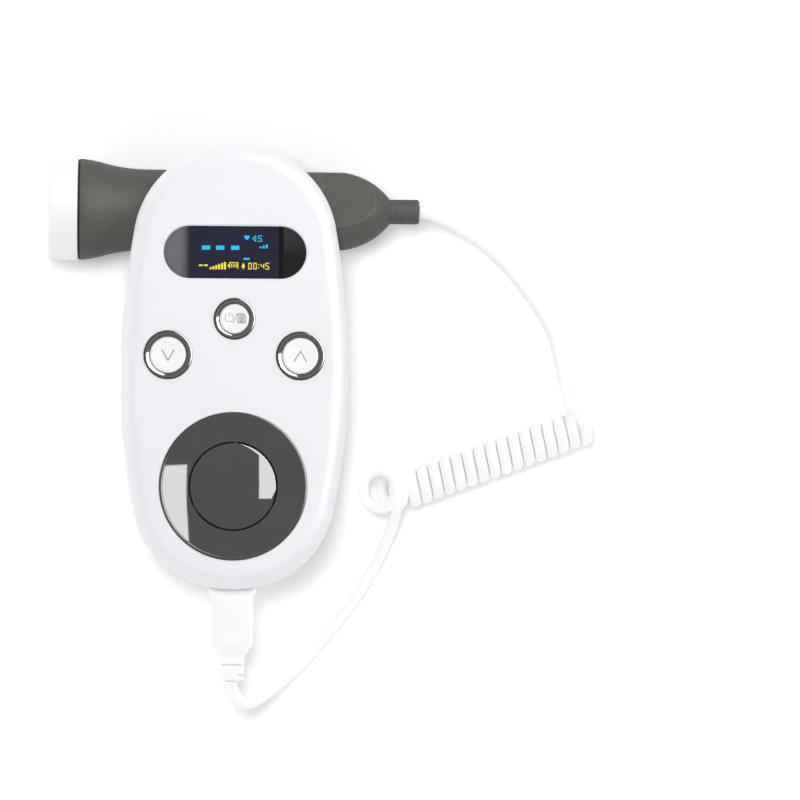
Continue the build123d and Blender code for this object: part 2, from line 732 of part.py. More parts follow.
def oled_carrier():
    """Tray that holds the panel, on two legs that stand on the board."""
    half_w = PANEL_W / 2 + CARRIER_EDGE
    high_y = DISPLAY_Y + PANEL_H / 2 + CARRIER_EDGE / 2
    top = PANEL_Z + PANEL_T
    low = top - CARRIER_T
    tray = block((-half_w, half_w), (CARRIER_LOW_Y, high_y), (low, top))
    for side in (-1, 1):
        x = side * (half_w - CARRIER_LEG)
        leg_x = (x - CARRIER_LEG / 2, x + CARRIER_LEG / 2)
        leg_y = (CARRIER_LOW_Y, CARRIER_LOW_Y + CARRIER_LEG)
        tray += block(leg_x, leg_y, (BOARD_TOP, low))
    half_w = RIBBON_W / 2 + RIBBON_GAP
    notch_y = (CARRIER_LOW_Y - PAST, DISPLAY_Y)
    tray -= block((-half_w, half_w), notch_y, (PANEL_Z, top + PAST))
    return tray - oled_panel()


def oled_ribbon():
    """Flat lead from the panel's lower edge down to its connector on the board."""
    start_y = DISPLAY_Y - PANEL_H / 2
    end_y = CARRIER_LOW_Y - CONNECTOR_FROM_CARRIER
    out_y = CARRIER_LOW_Y - CONNECTOR_FROM_CARRIER / 2
    high = PANEL_Z + PANEL_T / 2
    low = BOARD_TOP + CONNECTOR_H / 2
    corners = [(0, start_y, high), (0, out_y, high), (0, out_y, low), (0, end_y, low)]
    path = FilletPolyline(*corners, radius=RIBBON_BEND_R)
    section = Plane((0, start_y, high), x_dir=(1, 0, 0), z_dir=(0, -1, 0))
    return sweep(section * Rectangle(RIBBON_W, RIBBON_T), path=path)


def bezel(x, y, ring_r, cap_r):
    """Bright ring round a button, sloping in, held by a flange behind the wall."""
    inner = cap_r + CAP_GAP
    top = FRONT_Z + BEZEL_PROUD
    base = FRONT_Z - BEZEL_DEPTH
    return turned(
        [
            (ring_r, UNDER_FRONT),
            (ring_r, top - BEZEL_EDGE),
            (ring_r - BEZEL_EDGE, top),
            (ring_r - BEZEL_CREST, top),
            (inner + FUNNEL_FOOT, FRONT_Z - FUNNEL_DEPTH),
            (inner, FRONT_Z - FUNNEL_DEPTH - FUNNEL_FOOT),
            (inner, base),
            (ring_r + BEZEL_FLANGE, base),
            (ring_r + BEZEL_FLANGE, UNDER_FRONT),
        ],
        x,
        y,
    )


def button(x, y, cap_r):
    """Button cap, dished a little, with a skirt that keeps it behind its bezel."""
    skirt_r = cap_r + CAP_FLANGE
    skirt_top = PLUNGER_TOP + CAP_FLANGE_T
    top = FRONT_Z - CAP_SINK
    cap = turned(
        [
            (0, PLUNGER_TOP),
            (skirt_r, PLUNGER_TOP),
            (skirt_r, skirt_top),
            (cap_r, skirt_top),
            (cap_r, top),
            (0, top - CAP_DISH),
        ],
        x,
        y,
    )
    return fillet(cap.edges().group_by(Axis.Z)[-1], CAP_ROUND)


def switch_plunger(x, y):
    """Plunger that the button pushes into its switch."""
    return rod(x, y, PLUNGER_R, BOARD_TOP + SWITCH_H - PLUNGER_IN, PLUNGER_TOP)


def switch_housings():
    """Three tact switches on the board, each bored for its plunger."""
    top = BOARD_TOP + SWITCH_H
    floor = top - PLUNGER_IN - BUTTON_TRAVEL - PLUNGER_END_GAP
    housings = []
    for x, y, _, _ in BUTTONS.values():
        housing = Pos(x, y, BOARD_TOP + SWITCH_H / 2) * Box(SWITCH_W, SWITCH_W, SWITCH_H)
        housings.append(housing - rod(x, y, PLUNGER_R + PLUNGER_GAP, floor, top + PAST))
    return housings


def speaker_ring():
    """Dished ring round the speaker, with three spokes and a hub for the disc."""
    lip = RING_R - RING_LIP
    top = FRONT_Z + RING_PROUD
    dish = [
        (lip - RING_EDGE, 0, FRONT_Z),
        ((lip + DISH_R) / 2, 0, FRONT_Z - DISH_SAG * DISH_DEPTH),
        (DISH_R, 0, FRONT_Z - DISH_DEPTH),
    ]
    rim = [
        (RING_BACK_R, 0, RING_BACK_Z),
        (RING_BACK_R, 0, RING_SEAT_Z),
        (RING_R, 0, RING_SEAT_Z),
        (RING_R, 0, top - RING_EDGE),
        (RING_R - RING_EDGE, 0, top),
        (lip, 0, top),
    ]
    foot = (DISH_R, 0, RING_BACK_Z)
    edges = [Polyline(foot, *rim, dish[0]), ThreePointArc(*dish), Line(dish[2], foot)]
    ring = revolve(make_face(edges), Axis.Z)
    spoke_z = (RING_BACK_Z + SPOKE_IN - SPOKE_T, RING_BACK_Z + SPOKE_IN)
    for turn in (90, 210, 330):
        spoke = block((HUB_R / 2, DISH_R + SPOKE_IN), (-SPOKE_W / 2, SPOKE_W / 2), spoke_z)
        ring += Rot(0, 0, turn) * spoke
    hub_low = RING_SEAT_Z - HUB_T
    ring += rod(0, 0, HUB_R, hub_low, RING_SEAT_Z)
    ring -= rod(0, 0, PEG_R + PEG_GAP, hub_low - PAST, RING_SEAT_Z + PAST)
    return Pos(0, SPEAKER_Y, 0) * ring


def speaker_disc():
    """Domed disc in the middle of the ring, on a peg in the ring's hub."""
    radius = DISH_R - SLOT_W
    edge = FRONT_Z - DISC_SINK
    low = edge - DISC_T
    crown = edge + DISC_CROWN
    rim = radius - DISC_EDGE
    dome_r = (rim**2 + DISC_CROWN**2) / (2 * DISC_CROWN)
    disc = turned(
        [
            (0, low),
            (radius, low),
            (radius, edge - DISC_EDGE),
            (rim, edge),
            (rim, crown + PAST),
            (0, crown + PAST),
        ]
    )
    disc &= Pos(0, 0, crown - dome_r) * Sphere(dome_r)
    disc += rod(0, 0, DISC_STEM_R, RING_SEAT_Z, low)
    disc += rod(0, 0, PEG_R, RING_SEAT_Z - HUB_T, RING_SEAT_Z)
    return Pos(0, SPEAKER_Y, 0) * disc


def speaker_gasket():
    """Foam ring between the dished ring and the speaker."""
    gasket = rod(0, SPEAKER_Y, SPEAKER_R, SPEAKER_TOP, RING_BACK_Z)
    return gasket - rod(0, SPEAKER_Y, SPEAKER_R - GASKET_W, BOARD_TOP, FRONT_Z)


def speaker_frame():
    """Pressed basket of the speaker, from its rim down to the magnet."""
    low = SPEAKER_TOP - RIM_T
    floor = low - BASKET_DEPTH
    inner_r = SPEAKER_R - RIM_W
    return turned(
        [
            (SPEAKER_R, SPEAKER_TOP),
            (SPEAKER_R, low),
            (BASKET_R, floor),
            (BASKET_R, floor - BASKET_T),
            (0, floor - BASKET_T),
            (0, floor),
            (BASKET_R - BASKET_T, floor),
            (inner_r, low),
            (inner_r, SPEAKER_TOP),
        ],
        0,
        SPEAKER_Y,
    )


def speaker_cone():
    """Paper cone with its flat surround and dust cap."""
    edge = SPEAKER_R - GASKET_W - CONE_GAP
    inner = edge - SURROUND_W
    low = SPEAKER_TOP - CONE_DEPTH
    return turned(
        [
            (edge, SPEAKER_TOP),
            (edge, SPEAKER_TOP + SURROUND_T),
            (inner, SPEAKER_TOP + SURROUND_T),
            (CONE_CAP_R, low + CONE_T),
            (0, low + CONE_T + CONE_CROWN),
            (0, low + CONE_CROWN),
            (CONE_CAP_R, low),
            (inner, SPEAKER_TOP),
        ],
        0,
        SPEAKER_Y,
    )


def speaker_magnet():
    """Magnet under the basket."""
    top = RING_BACK_Z - BASKET_STACK
    magnet = rod(0, SPEAKER_Y, MAGNET_R, top - MAGNET_T, top)
    return chamfer(magnet.edges(), MAGNET_CHAMFER)


def sleeve(half_w, half_h, wall, y, back):
    """Rectangular sheet sleeve along Y round the socket's axis, with a back wall."""
    z = (SOCKET_Z - half_h, SOCKET_Z + half_h)
    outer = block((-half_w, half_w), y, z)
    inner_y = (y[0] - PAST, y[1] - back)
    inner_z = (z[0] + wall, z[1] - wall)
    return outer - block((wall - half_w, half_w - wall), inner_y, inner_z)


def socket_shell():
    """Metal shell of the socket, just inside the end wall."""
    y = (SOCKET_FRONT, SOCKET_FRONT + SOCKET_LEN)
    return sleeve(SOCKET_W / 2, SOCKET_H / 2, SHEET_T, y, SHEET_T)


def socket_tongue():
    """Contact tongue in the socket's upper half."""
    y = (SOCKET_FRONT + CONTACT_SET_IN, SOCKET_FRONT + SOCKET_LEN - SHEET_T)
    low = SOCKET_Z + CONTACT_LIFT
    return block((-CONTACT_W / 2, CONTACT_W / 2), y, (low, low + CONTACT_H))


def socket_board():
    """Small board over the socket, up against two posts of the front case."""
    low = SOCKET_Z + SOCKET_H / 2
    y = (SOCKET_FRONT + SOCKET_BOARD_SET_IN, SOCKET_FRONT + SOCKET_LEN)
    return block((-SOCKET_BOARD_W / 2, SOCKET_BOARD_W / 2), y, (low, low + SOCKET_BOARD_T))


def plug_shell():
    """Metal shell of the plug."""
    half_w = SOCKET_W / 2 - SHEET_T - PLUG_GAP
    half_h = SOCKET_H / 2 - SHEET_T - PLUG_GAP
    high = PLUG_FRONT + PLUG_SHELL_IN
    shell = block((-half_w, half_w), (PLUG_FRONT, high), (SOCKET_Z - half_h, SOCKET_Z + half_h))
    inner = (SHEET_T - half_w, half_w - SHEET_T)
    z = (SOCKET_Z - half_h + SHEET_T, SOCKET_Z + half_h - SHEET_T)
    return shell - block(inner, (PLUG_FRONT, high + PAST), z)


def plug_insert():
    """Contact block in the plug's lower half, which slides under the tongue."""
    half_w = SOCKET_W / 2 - 2 * SHEET_T - PLUG_GAP
    low = SOCKET_Z - SOCKET_H / 2 + 2 * SHEET_T + PLUG_GAP
    y = (PLUG_FRONT, PLUG_FRONT + PLUG_SHELL_IN - PLUG_INSERT_SHORT)
    return block((-half_w, half_w), y, (low, SOCKET_Z - PLUG_INSERT_GAP))


def boot_section(width, height, y):
    """Rounded rectangle across the plug's axis at y."""
    place = Plane((0, y, SOCKET_Z), x_dir=(1, 0, 0), z_dir=(0, -1, 0))
    return place * RectangleRounded(width, height, BOOT_ROUND)


def plug_overmould():
    """Moulded grip of the plug: flange, straight part, taper, and raised dots."""
    boot = extrude(boot_section(BOOT_W, BOOT_H, PLUG_FRONT), BOOT_LEN)
    flange = (BOOT_W + 2 * BOOT_FLANGE, BOOT_H + 2 * BOOT_FLANGE)
    boot += extrude(boot_section(*flange, PLUG_FRONT + BOOT_WRAP), BOOT_WRAP + BOOT_FLANGE_T)
    boot -= extrude(outline(-PLUG_STOP_GAP), FRONT_Z)
    half_w = SOCKET_W / 2 - SHEET_T
    half_h = SOCKET_H / 2 - SHEET_T
    z = (SOCKET_Z - half_h, SOCKET_Z + half_h)
    boot -= block((-half_w, half_w), (PLUG_FRONT, PLUG_FRONT + BOOT_WRAP), z)
    taper_y = PLUG_FRONT - BOOT_LEN
    boot += loft([boot_section(BOOT_W, BOOT_H, taper_y), boot_section(TIP_W, TIP_H, BOOT_END)])
    top = SOCKET_Z + BOOT_H / 2
    for row in range(DOT_ROWS):
        y = taper_y + DOT_FROM_TAPER + (DOT_ROWS - 1 - row) * DOT_PITCH
        for place in range(row + 1):
            x = (place - row / 2) * DOT_PITCH
            boot += Pos(x, y, top - DOT_SINK) * Sphere(DOT_R)
    return boot


def plug_strain_relief():
    """Sleeve where the cord leaves the plug, slotted in its faces and then in its sides."""
    tip = extrude(boot_section(TIP_W, TIP_H, BOOT_END), TIP_LEN)
    tip = fillet(tip.edges().group_by(Axis.Y)[0], TIP_END_ROUND)
    face_y = BOOT_END - TIP_FACE_SLOT_AT
    side_y = BOOT_END - TIP_SIDE_SLOT_AT
    for side in (-1, 1):
        z = sorted((side * TIP_H, side * (TIP_H / 2 - TIP_FACE_SLOT_DEPTH)))
        z = (SOCKET_Z + z[0], SOCKET_Z + z[1])
        x = (-TIP_FACE_SLOT_LEN / 2, TIP_FACE_SLOT_LEN / 2)
        tip -= block(x, (face_y - TIP_SLOT_W / 2, face_y + TIP_SLOT_W / 2), z)
        x = sorted((side * TIP_W, side * (TIP_W / 2 - TIP_SIDE_SLOT_DEPTH)))
        z = (SOCKET_Z - TIP_H, SOCKET_Z + TIP_H)
        tip -= block(x, (side_y - TIP_SLOT_W / 2, side_y + TIP_SLOT_W / 2), z)
    return tip


def disc_along_x(radius, low, high):
    """Disc on the probe's axis between two places along X."""
    place = Pos((low + high) / 2, PROBE_Y, PROBE_Z) * Rot(0, 90, 0)
    return place * Cylinder(radius, high - low)


def handle_profile():
    """Edges of the handle's half section, as (x, radius)."""
    flare = [(HANDLE_X + x, GRIP_R + share * (HEAD_R - GRIP_R)) for x, share in FLARE]
    tip_r = RELIEF_R + TAIL_LIP
    bulge_x = TAIL_X + TAIL_BULGE[0] * (HANDLE_END_X - TAIL_X)
    bulge_r = tip_r + TAIL_BULGE[1] * (TAIL_R - tip_r)
    return [
        Polyline((HANDLE_X, 0), flare[0], flare[1]),
        ThreePointArc(flare[1], flare[2], flare[3]),
        ThreePointArc(flare[3], flare[4], flare[5]),
        Line(flare[5], (TAIL_X, TAIL_R)),
        ThreePointArc((TAIL_X, TAIL_R), (bulge_x, bulge_r), (HANDLE_END_X, tip_r)),
        Polyline((HANDLE_END_X, tip_r), (HANDLE_END_X, 0), (HANDLE_X, 0)),
    ]


def facet_cut():
    """Space over the flat thumb rest at the cord end, which leans towards the case's end."""
    start = (FACET_START_X, GRIP_R)
    ramp_end = (FACET_FLAT_X, FACET_H)
    end = (HANDLE_END_X + PAST, FACET_H)
    face = make_face(Polyline(start, ramp_end, end, (end[0], FAR), (start[0], FAR), close=True))
    cut = Rot(-FACET_ROLL, 0, 0) * extrude(Plane.XZ * face, FAR, both=True)
    return Pos(0, PROBE_Y, PROBE_Z) * cut


def round_facet(upper):
    """Upper handle half with the edge of its flat thumb rest rounded over."""
    flat = upper.faces().filter_by(GeomType.PLANE).filter_by(lambda f: f.center().X > FACET_FLAT_X)
    rest = flat.sort_by(Axis.X)[0]
    return fillet(rest.edges(), FACET_ROUND)


def handle_whole():
    """The probe's handle before it is split: hollow, with a neck for the head."""
    middle = Plane.XY.offset(PROBE_Z)
    body = lathe(handle_profile(), PROBE_Y, PROBE_Z)
    neck = disc_along_x(NECK_R, HANDLE_X - NECK_LEN, HANDLE_X + PAST)
    pocket_x = HANDLE_END_X - RELIEF_STEM_LEN
    inside = disc_along_x(PROBE_CAVITY_R, HANDLE_X - NECK_LEN - PAST, pocket_x - RELIEF_ROOM)
    inside += disc_along_x(RELIEF_FLANGE_R + RELIEF_GAP, pocket_x - RELIEF_ROOM, pocket_x)
    inside += disc_along_x(RELIEF_STEM_R + RELIEF_GAP, pocket_x, HANDLE_END_X + PAST)
    upper = round_facet(split(body, middle, keep=Keep.TOP) - facet_cut())
    upper += split(neck, middle, keep=Keep.TOP)
    lower = split(body + neck, middle, keep=Keep.BOTTOM)
    return upper - inside, lower - inside


def probe_head_cap():
    """White cup over the transducer: its flat end is the face that is used."""
    cup = disc_along_x(HEAD_R, HEAD_X, HEAD_END_X)
    cup = fillet(cup.edges().group_by(Axis.X)[0], HEAD_ROUND)
    return cup - disc_along_x(HEAD_R - HEAD_WALL, HEAD_X + MEMBRANE_T, HEAD_END_X + PAST)


def probe_seal_ring():
    """Thin seal between the head and the handle."""
    ring = disc_along_x(HEAD_R - SEAL_SINK, HEAD_END_X, HANDLE_X)
    return ring - disc_along_x(NECK_R, HEAD_END_X - PAST, HANDLE_X + PAST)


def transducer_crystals():
    """Sending and receiving half discs behind the head's face."""
    low = HEAD_X + MEMBRANE_T
    disc = disc_along_x(CRYSTAL_R, low, low + CRYSTAL_T)
    gap = CRYSTAL_GAP / 2
    halves = []
    for side in (-1, 1):
        y = sorted((PROBE_Y + side * gap, PROBE_Y + side * CRYSTAL_R))
        halves.append(disc & block((low - PAST, low + CRYSTAL_T + PAST), y, (0, 2 * PROBE_Z)))
    return halves


def transducer_backing():
    """Damping disc between the crystals and the handle's neck."""
    low = HEAD_X + MEMBRANE_T + CRYSTAL_T
    return disc_along_x(NECK_R, low, HANDLE_X - NECK_LEN)


def probe_board():
    """Amplifier board, which rests on the inside of the lower handle half."""
    half_w = PROBE_BOARD_W / 2
    low = PROBE_Z - sqrt(PROBE_CAVITY_R**2 - half_w**2)
    start = HANDLE_X + PROBE_BOARD_SET_IN
    y = (PROBE_Y - half_w, PROBE_Y + half_w)
    return block((start, start + PROBE_BOARD_LEN), y, (low, low + BOARD_T))


def probe_strain_relief():
    """Rubber collar at the handle's end that the cord comes out of."""
    end = HANDLE_END_X + RELIEF_LEN
    collar = disc_along_x(RELIEF_R, HANDLE_END_X, end)
    collar = chamfer(collar.edges().group_by(Axis.X)[-1], RELIEF_CHAMFER)
    seat_x = HANDLE_END_X - RELIEF_STEM_LEN
    collar += disc_along_x(RELIEF_STEM_R, seat_x, HANDLE_END_X)
    return collar + disc_along_x(RELIEF_FLANGE_R, seat_x - RELIEF_FLANGE_T, seat_x)


# Route of the cord: its two leads lie on either side of the coil.
CORD_Z = CORD_R + CORD_LIFT
PROBE_EXIT = (HANDLE_END_X + RELIEF_LEN, PROBE_Y, PROBE_Z)
PLUG_EXIT = (0, TIP_END, SOCKET_Z)
PROBE_LEAD = [
    PROBE_EXIT,
    (58.4, PROBE_Y, PROBE_Z),
    (64.6, 49.8, 14.2),
    (73.3, 44.8, 9.2),
    (81.4, 38.3, 4.8),
    (91.1, 26.5, 2.2),
    (97.7, 16.4, CORD_Z),
    (100.9, 3.4, 2.6),
    (102.1, -4.0, 5.6),
    (103.8, -10.0, 8.2),
]
PLUG_LEAD = [
    PLUG_EXIT,
    (0, TIP_END - 2.4, SOCKET_Z),
    (1.5, -98.0, 19.4),
    (4.5, -99.9, 15.0),
    (9.2, -97.6, 10.2),
    (14.7, -93.2, 6.2),
    (20.5, -87.8, 3.4),
    (26.3, -81.5, CORD_Z),
    (33.3, -72.9, CORD_Z),
    (41.0, -61.9, CORD_Z),
    (45.9, -53.2, 2.2),
    (49.8, -44.8, 4.6),
    (51.6, -37.6, 8.6),
    (51.9, -33.4, 11.0),
]
COIL_START = (109.2, -12.5)
COIL_END = (56.2, -32.9)


def tube(name, route):
    """Round tube along straight runs with an arc at each corner as wide as they allow."""
    points = [Vector(*p) for p in route]
    runs = [b - a for a, b in zip(points, points[1:])]
    radii = []
    for first, second in zip(runs, runs[1:]):
        half_turn = radians(first.get_angle(second)) / 2
        shorter = min(first.length, second.length)
        radii.append(FILLET_SHARE * shorter / tan(half_turn))
    path = FilletPolyline(*points, radius=radii)
    section = Plane(points[0], z_dir=runs[0]) * Circle(CORD_R)
    solid = sweep(section, path=path)
    length = path.length
    ideal = pi * CORD_R**2 * length
    print(name, "radii", [round(r, 1) for r in radii], "runs", [round(r.length, 1) for r in runs])
    print(name, "length", round(length, 1), "volume", round(solid.volume, 1), "of", round(ideal, 1))
    return solid


def cord_coil():
    """Outer form of the coil: lying along the surface, its left end turned up to face the front."""
    z = COIL_R + CORD_LIFT
    start = Vector(*COIL_START, z)
    end = Vector(*COIL_END, z)
    along = (end - start).normalized()
    half = radians(COIL_BEND_ANGLE) / 2
    full = radians(COIL_BEND_ANGLE)
    lean = radians(COIL_BEND_LEAN)
    up = Vector(0, 0, 1)
    turned_up = up * cos(lean) + along.cross(up) * sin(lean)
    middle = end + (along * sin(half) + turned_up * (1 - cos(half))) * COIL_BEND_R
    tip = end + (along * sin(full) + turned_up * (1 - cos(full))) * COIL_BEND_R
    path = Line(start, end) + ThreePointArc(end, middle, tip)
    section = Plane(start, z_dir=along) * Circle(COIL_R)
    return sweep(section, path=path)


def save(name, shapes):
    """Write one node, made of one solid or several."""
    if isinstance(shapes, list):
        shapes = Compound(children=[s.solid() for s in shapes])
    export_step(shapes, f"parts/{name}.step")


def build():
    """Make every piece and write it to its own file."""
    bay = bay_space()
    outer = puck(0)
    cavity = puck(WALL) - bay_core()
    save("front_case", front_case(outer, cavity, bay))
    save("rear_case", rear_case(outer, cavity, bay))
    save("battery_door", battery_door(outer))
    save("battery_cells", battery_cells())
    save("battery_springs", battery_springs())
    save("battery_contact_plates", contact_plates())
    save("case_screws", case_screws())
    save("main_board", main_board())
    save("board_screws", board_screws())
    save("board_chips", board_chips())
    save("display_window", display_window())
    save("oled_panel", oled_panel())
    save("oled_carrier", oled_carrier())
    save("oled_ribbon", oled_ribbon())
    for name, (x, y, ring_r, cap_r) in BUTTONS.items():
        save(f"bezel_{name}", bezel(x, y, ring_r, cap_r))
        save(f"button_{name}", button(x, y, cap_r))
        save(f"switch_plunger_{name}", switch_plunger(x, y))
    save("switch_housings", switch_housings())
    save("speaker_ring", speaker_ring())
    save("speaker_disc", speaker_disc())
    save("speaker_gasket", speaker_gasket())
    save("speaker_frame", speaker_frame())
    save("speaker_cone", speaker_cone())
    save("speaker_magnet", speaker_magnet())
    save("socket_shell", socket_shell())
    save("socket_tongue", socket_tongue())
    save("socket_board", socket_board())
    save("plug_shell", plug_shell())
    save("plug_insert", plug_insert())
    save("plug_overmould", plug_overmould())
    save("plug_strain_relief", plug_strain_relief())
    upper, lower = handle_whole()
    save("probe_handle_upper", upper)
    save("probe_handle_lower", lower)
    save("probe_head_cap", probe_head_cap())
    save("probe_seal_ring", probe_seal_ring())
    save("transducer_crystals", transducer_crystals())
    save("transducer_backing", transducer_backing())
    save("probe_board", probe_board())
    save("probe_strain_relief", probe_strain_relief())
    save("cord_lead_probe", tube("cord_lead_probe", PROBE_LEAD))
    save("cord_lead_plug", tube("cord_lead_plug", PLUG_LEAD))
    save("cord_coil", cord_coil())


build()
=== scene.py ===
"""Handheld fetal doppler monitor: case, clip-in probe, curly cord and plug."""

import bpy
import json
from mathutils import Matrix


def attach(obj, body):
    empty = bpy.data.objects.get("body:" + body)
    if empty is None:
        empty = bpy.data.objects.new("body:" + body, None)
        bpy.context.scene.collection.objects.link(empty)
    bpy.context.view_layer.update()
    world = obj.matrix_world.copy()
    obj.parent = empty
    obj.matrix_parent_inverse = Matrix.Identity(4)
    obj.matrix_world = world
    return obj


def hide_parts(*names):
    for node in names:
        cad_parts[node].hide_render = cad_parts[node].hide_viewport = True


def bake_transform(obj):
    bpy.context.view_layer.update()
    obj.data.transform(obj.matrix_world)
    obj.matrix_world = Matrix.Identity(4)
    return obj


bl_info = {
    "name": "Fetal doppler monitor",
    "version": (1, 0, 0),
    "blender": (4, 5, 0),
    "location": "View3D > Sidebar > Doppler",
    "description": "Dresses the doppler's frame with its finished pieces",
    "category": "Object",
}

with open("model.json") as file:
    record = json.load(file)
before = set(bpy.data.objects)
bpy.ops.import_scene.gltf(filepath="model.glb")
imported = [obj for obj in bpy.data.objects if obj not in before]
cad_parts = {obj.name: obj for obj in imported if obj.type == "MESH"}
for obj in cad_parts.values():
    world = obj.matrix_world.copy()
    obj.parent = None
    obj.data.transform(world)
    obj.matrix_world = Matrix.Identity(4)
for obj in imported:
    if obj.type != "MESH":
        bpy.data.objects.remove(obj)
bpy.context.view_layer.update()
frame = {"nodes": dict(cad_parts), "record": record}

import json
from math import cos, hypot, pi, radians, sin, sqrt

import bpy
from bpy.props import FloatProperty, FloatVectorProperty, IntProperty, PointerProperty
from mathutils import Matrix, Vector

MM = 0.001

# Places on the case, in millimetres
FRONT_Z = 36.0
HANDLE_X = -48.3
DISPLAY_Z = 33.2
FILM_THICKNESS = 0.04
SPEAKER_Y = -32.55

# Button caps, in millimetres: place, ring radius and cap radius of each button
CAP_Z = 35.5
CAP_ROUND = 0.45
CAP_DISH = 0.12
PLUNGER_TOP = 31.4
BUTTONS = {
    "power": (0.0, 18.8, 6.35, 4.6),
    "down": (-20.3, 7.6, 7.45, 5.6),
    "up": (20.3, 7.6, 7.45, 5.6),
}

# Cord: the two leads' routes and the coil's axis, in millimetres
PROBE_LEAD = [
    (56.4, 52.2, 16.0),
    (58.4, 52.2, 16.0),
    (64.6, 49.8, 14.2),
    (73.3, 44.8, 9.2),
    (81.4, 38.3, 4.8),
    (91.1, 26.5, 2.2),
    (97.7, 16.4, 1.9),
    (100.9, 3.4, 2.6),
    (102.2, -3.6, 6.2),
    (103.2, -7.0, 11.0),
    (106.4, -9.2, 13.2),
    (108.6, -13.4, 11.9),
]
PLUG_LEAD = [
    (0.0, -92.45, 22.2),
    (0.0, -94.85, 22.2),
    (1.5, -98.0, 19.4),
    (4.5, -99.9, 15.0),
    (9.2, -97.6, 10.2),
    (14.7, -93.2, 6.2),
    (20.5, -87.8, 3.4),
    (26.3, -81.5, 1.9),
    (33.3, -72.9, 1.9),
    (41.0, -61.9, 1.9),
    (45.4, -53.2, 2.6),
    (49.1, -44.5, 6.0),
    (50.4, -37.8, 12.0),
    (49.5, -33.4, 14.6),
]
COIL_START = Vector((109.2, -12.5, 6.3))
COIL_END = Vector((54.3, -32.9, 6.3))
COIL_BEND_R = 9.2
COIL_BEND_ANGLE = radians(86)
COIL_BEND_LEAN = radians(28)
COIL_FIRST_TURN = radians(-60)
COIL_FIRST_REACH = 2.2
RING_SWELL_TURNS = 1.7
PROBE_LEAD_BLEND = ((61, 51, 15), (99, 8, 2))
PLUG_LEAD_BLEND = ((47, -50, 4), (17, -91, 5))

# Clean copies of the frame's pieces: degrees below which edges are smooth, or dissolved
SMOOTH_ANGLE = 30
FLAT_ANGLE = 0.6

# Camera: place in millimetres, lens and roll
CAMERA_PLACE = (50.95, -5.64, 5036)
CAMERA_LENS = 734.1
CAMERA_ROLL = radians(0.5)

# Lights: near and far corner, height in metres, and radiance
KEY_LIGHT = ((-0.34, 0.03), (0.11, 0.48), 1.5, 15.5)
SOFTBOX = ((0.226, -0.150), (2.6, 1.7), 1.25, 15.6)

# Surroundings: level at a low and at a high direction, each with its height
ROOM_FILL = ((0.1, 1.8), (0.75, 0.22))
ROOM_SEEN = ((0.35, 1.0), (0.9, 0.33))
FLOOR_BOUNCE = 0.98
FLOOR_SEEN = 1.17


class DopplerSizes(bpy.types.PropertyGroup):
    """Sizes of the dressed pieces."""

    cord_diameter: FloatProperty(
        name="Cord diameter", description="Diameter of the cord", default=3.6 * MM, unit="LENGTH"
    )
    coil_turns: FloatProperty(
        name="Coil turns", description="Turns in the straight part of the coil", default=15.1
    )
    bend_turns: FloatProperty(
        name="Turns in the bend", description="Turns in the coil's raised end", default=2.68
    )
    coil_radius_start: FloatProperty(
        name="Coil radius at the probe's lead",
        description="Radius of the coil's centre line at the end by the probe's lead",
        default=4.3 * MM,
        unit="LENGTH",
    )
    coil_radius_end: FloatProperty(
        name="Coil radius at the plug's lead",
        description="Radius of the coil's centre line before its last turn",
        default=4.35 * MM,
        unit="LENGTH",
    )
    last_ring_radius: FloatProperty(
        name="Last ring radius",
        description="Radius of the centre line of the raised last turn",
        default=5.6 * MM,
        unit="LENGTH",
    )
    points_per_turn: IntProperty(
        name="Points per turn", description="Control points in each turn of the coil", default=12
    )


class DopplerColours(bpy.types.PropertyGroup):
    """Colours of the finishes, as linear values."""

    case: FloatVectorProperty(
        name="Case", description="White of the case", subtype="COLOR", default=(0.815, 0.815, 0.85)
    )
    probe: FloatVectorProperty(
        name="Probe", description="Grey of the probe's handle", subtype="COLOR",
        default=(0.094, 0.090, 0.082),
    )
    head: FloatVectorProperty(
        name="Probe head", description="White of the probe's head", subtype="COLOR",
        default=(0.885, 0.885, 0.895),
    )
    speaker: FloatVectorProperty(
        name="Speaker", description="Dark grey of the speaker's ring and disc", subtype="COLOR",
        default=(0.070, 0.070, 0.067),
    )
    bezel: FloatVectorProperty(
        name="Bezels", description="Dark chrome of the button bezels", subtype="COLOR",
        default=(0.145, 0.145, 0.142),
    )
    cord: FloatVectorProperty(
        name="Cord", description="White of the cord", subtype="COLOR",
        default=(0.985, 0.985, 0.975),
    )
    plug: FloatVectorProperty(
        name="Plug", description="White of the plug", subtype="COLOR",
        default=(0.945, 0.945, 0.945),
    )
    ink: FloatVectorProperty(
        name="Signs", description="Grey of the printed signs", subtype="COLOR",
        default=(0.246, 0.246, 0.246),
    )
    lit_cyan: FloatVectorProperty(
        name="Display cyan", description="Upper rows of the display", subtype="COLOR",
        default=(0.0, 0.50, 0.88),
    )
    lit_yellow: FloatVectorProperty(
        name="Display yellow", description="Lowest row of the display", subtype="COLOR",
        default=(0.95, 0.72, 0.03),
    )


def sizes():
    return bpy.context.scene.doppler_sizes


def colours():
    return bpy.context.scene.doppler_colours


# ---- Finishes -------------------------------------------------------------


def shader(name):
    """New material with one Principled shader, and the helpers to wire it."""
    material = bpy.data.materials.new("finish_" + name)
    material.use_nodes = True
    tree = material.node_tree
    tree.nodes.clear()
    output = tree.nodes.new("ShaderNodeOutputMaterial")
    surface = tree.nodes.new("ShaderNodeBsdfPrincipled")
    tree.links.new(surface.outputs["BSDF"], output.inputs["Surface"])
    return material, tree, surface


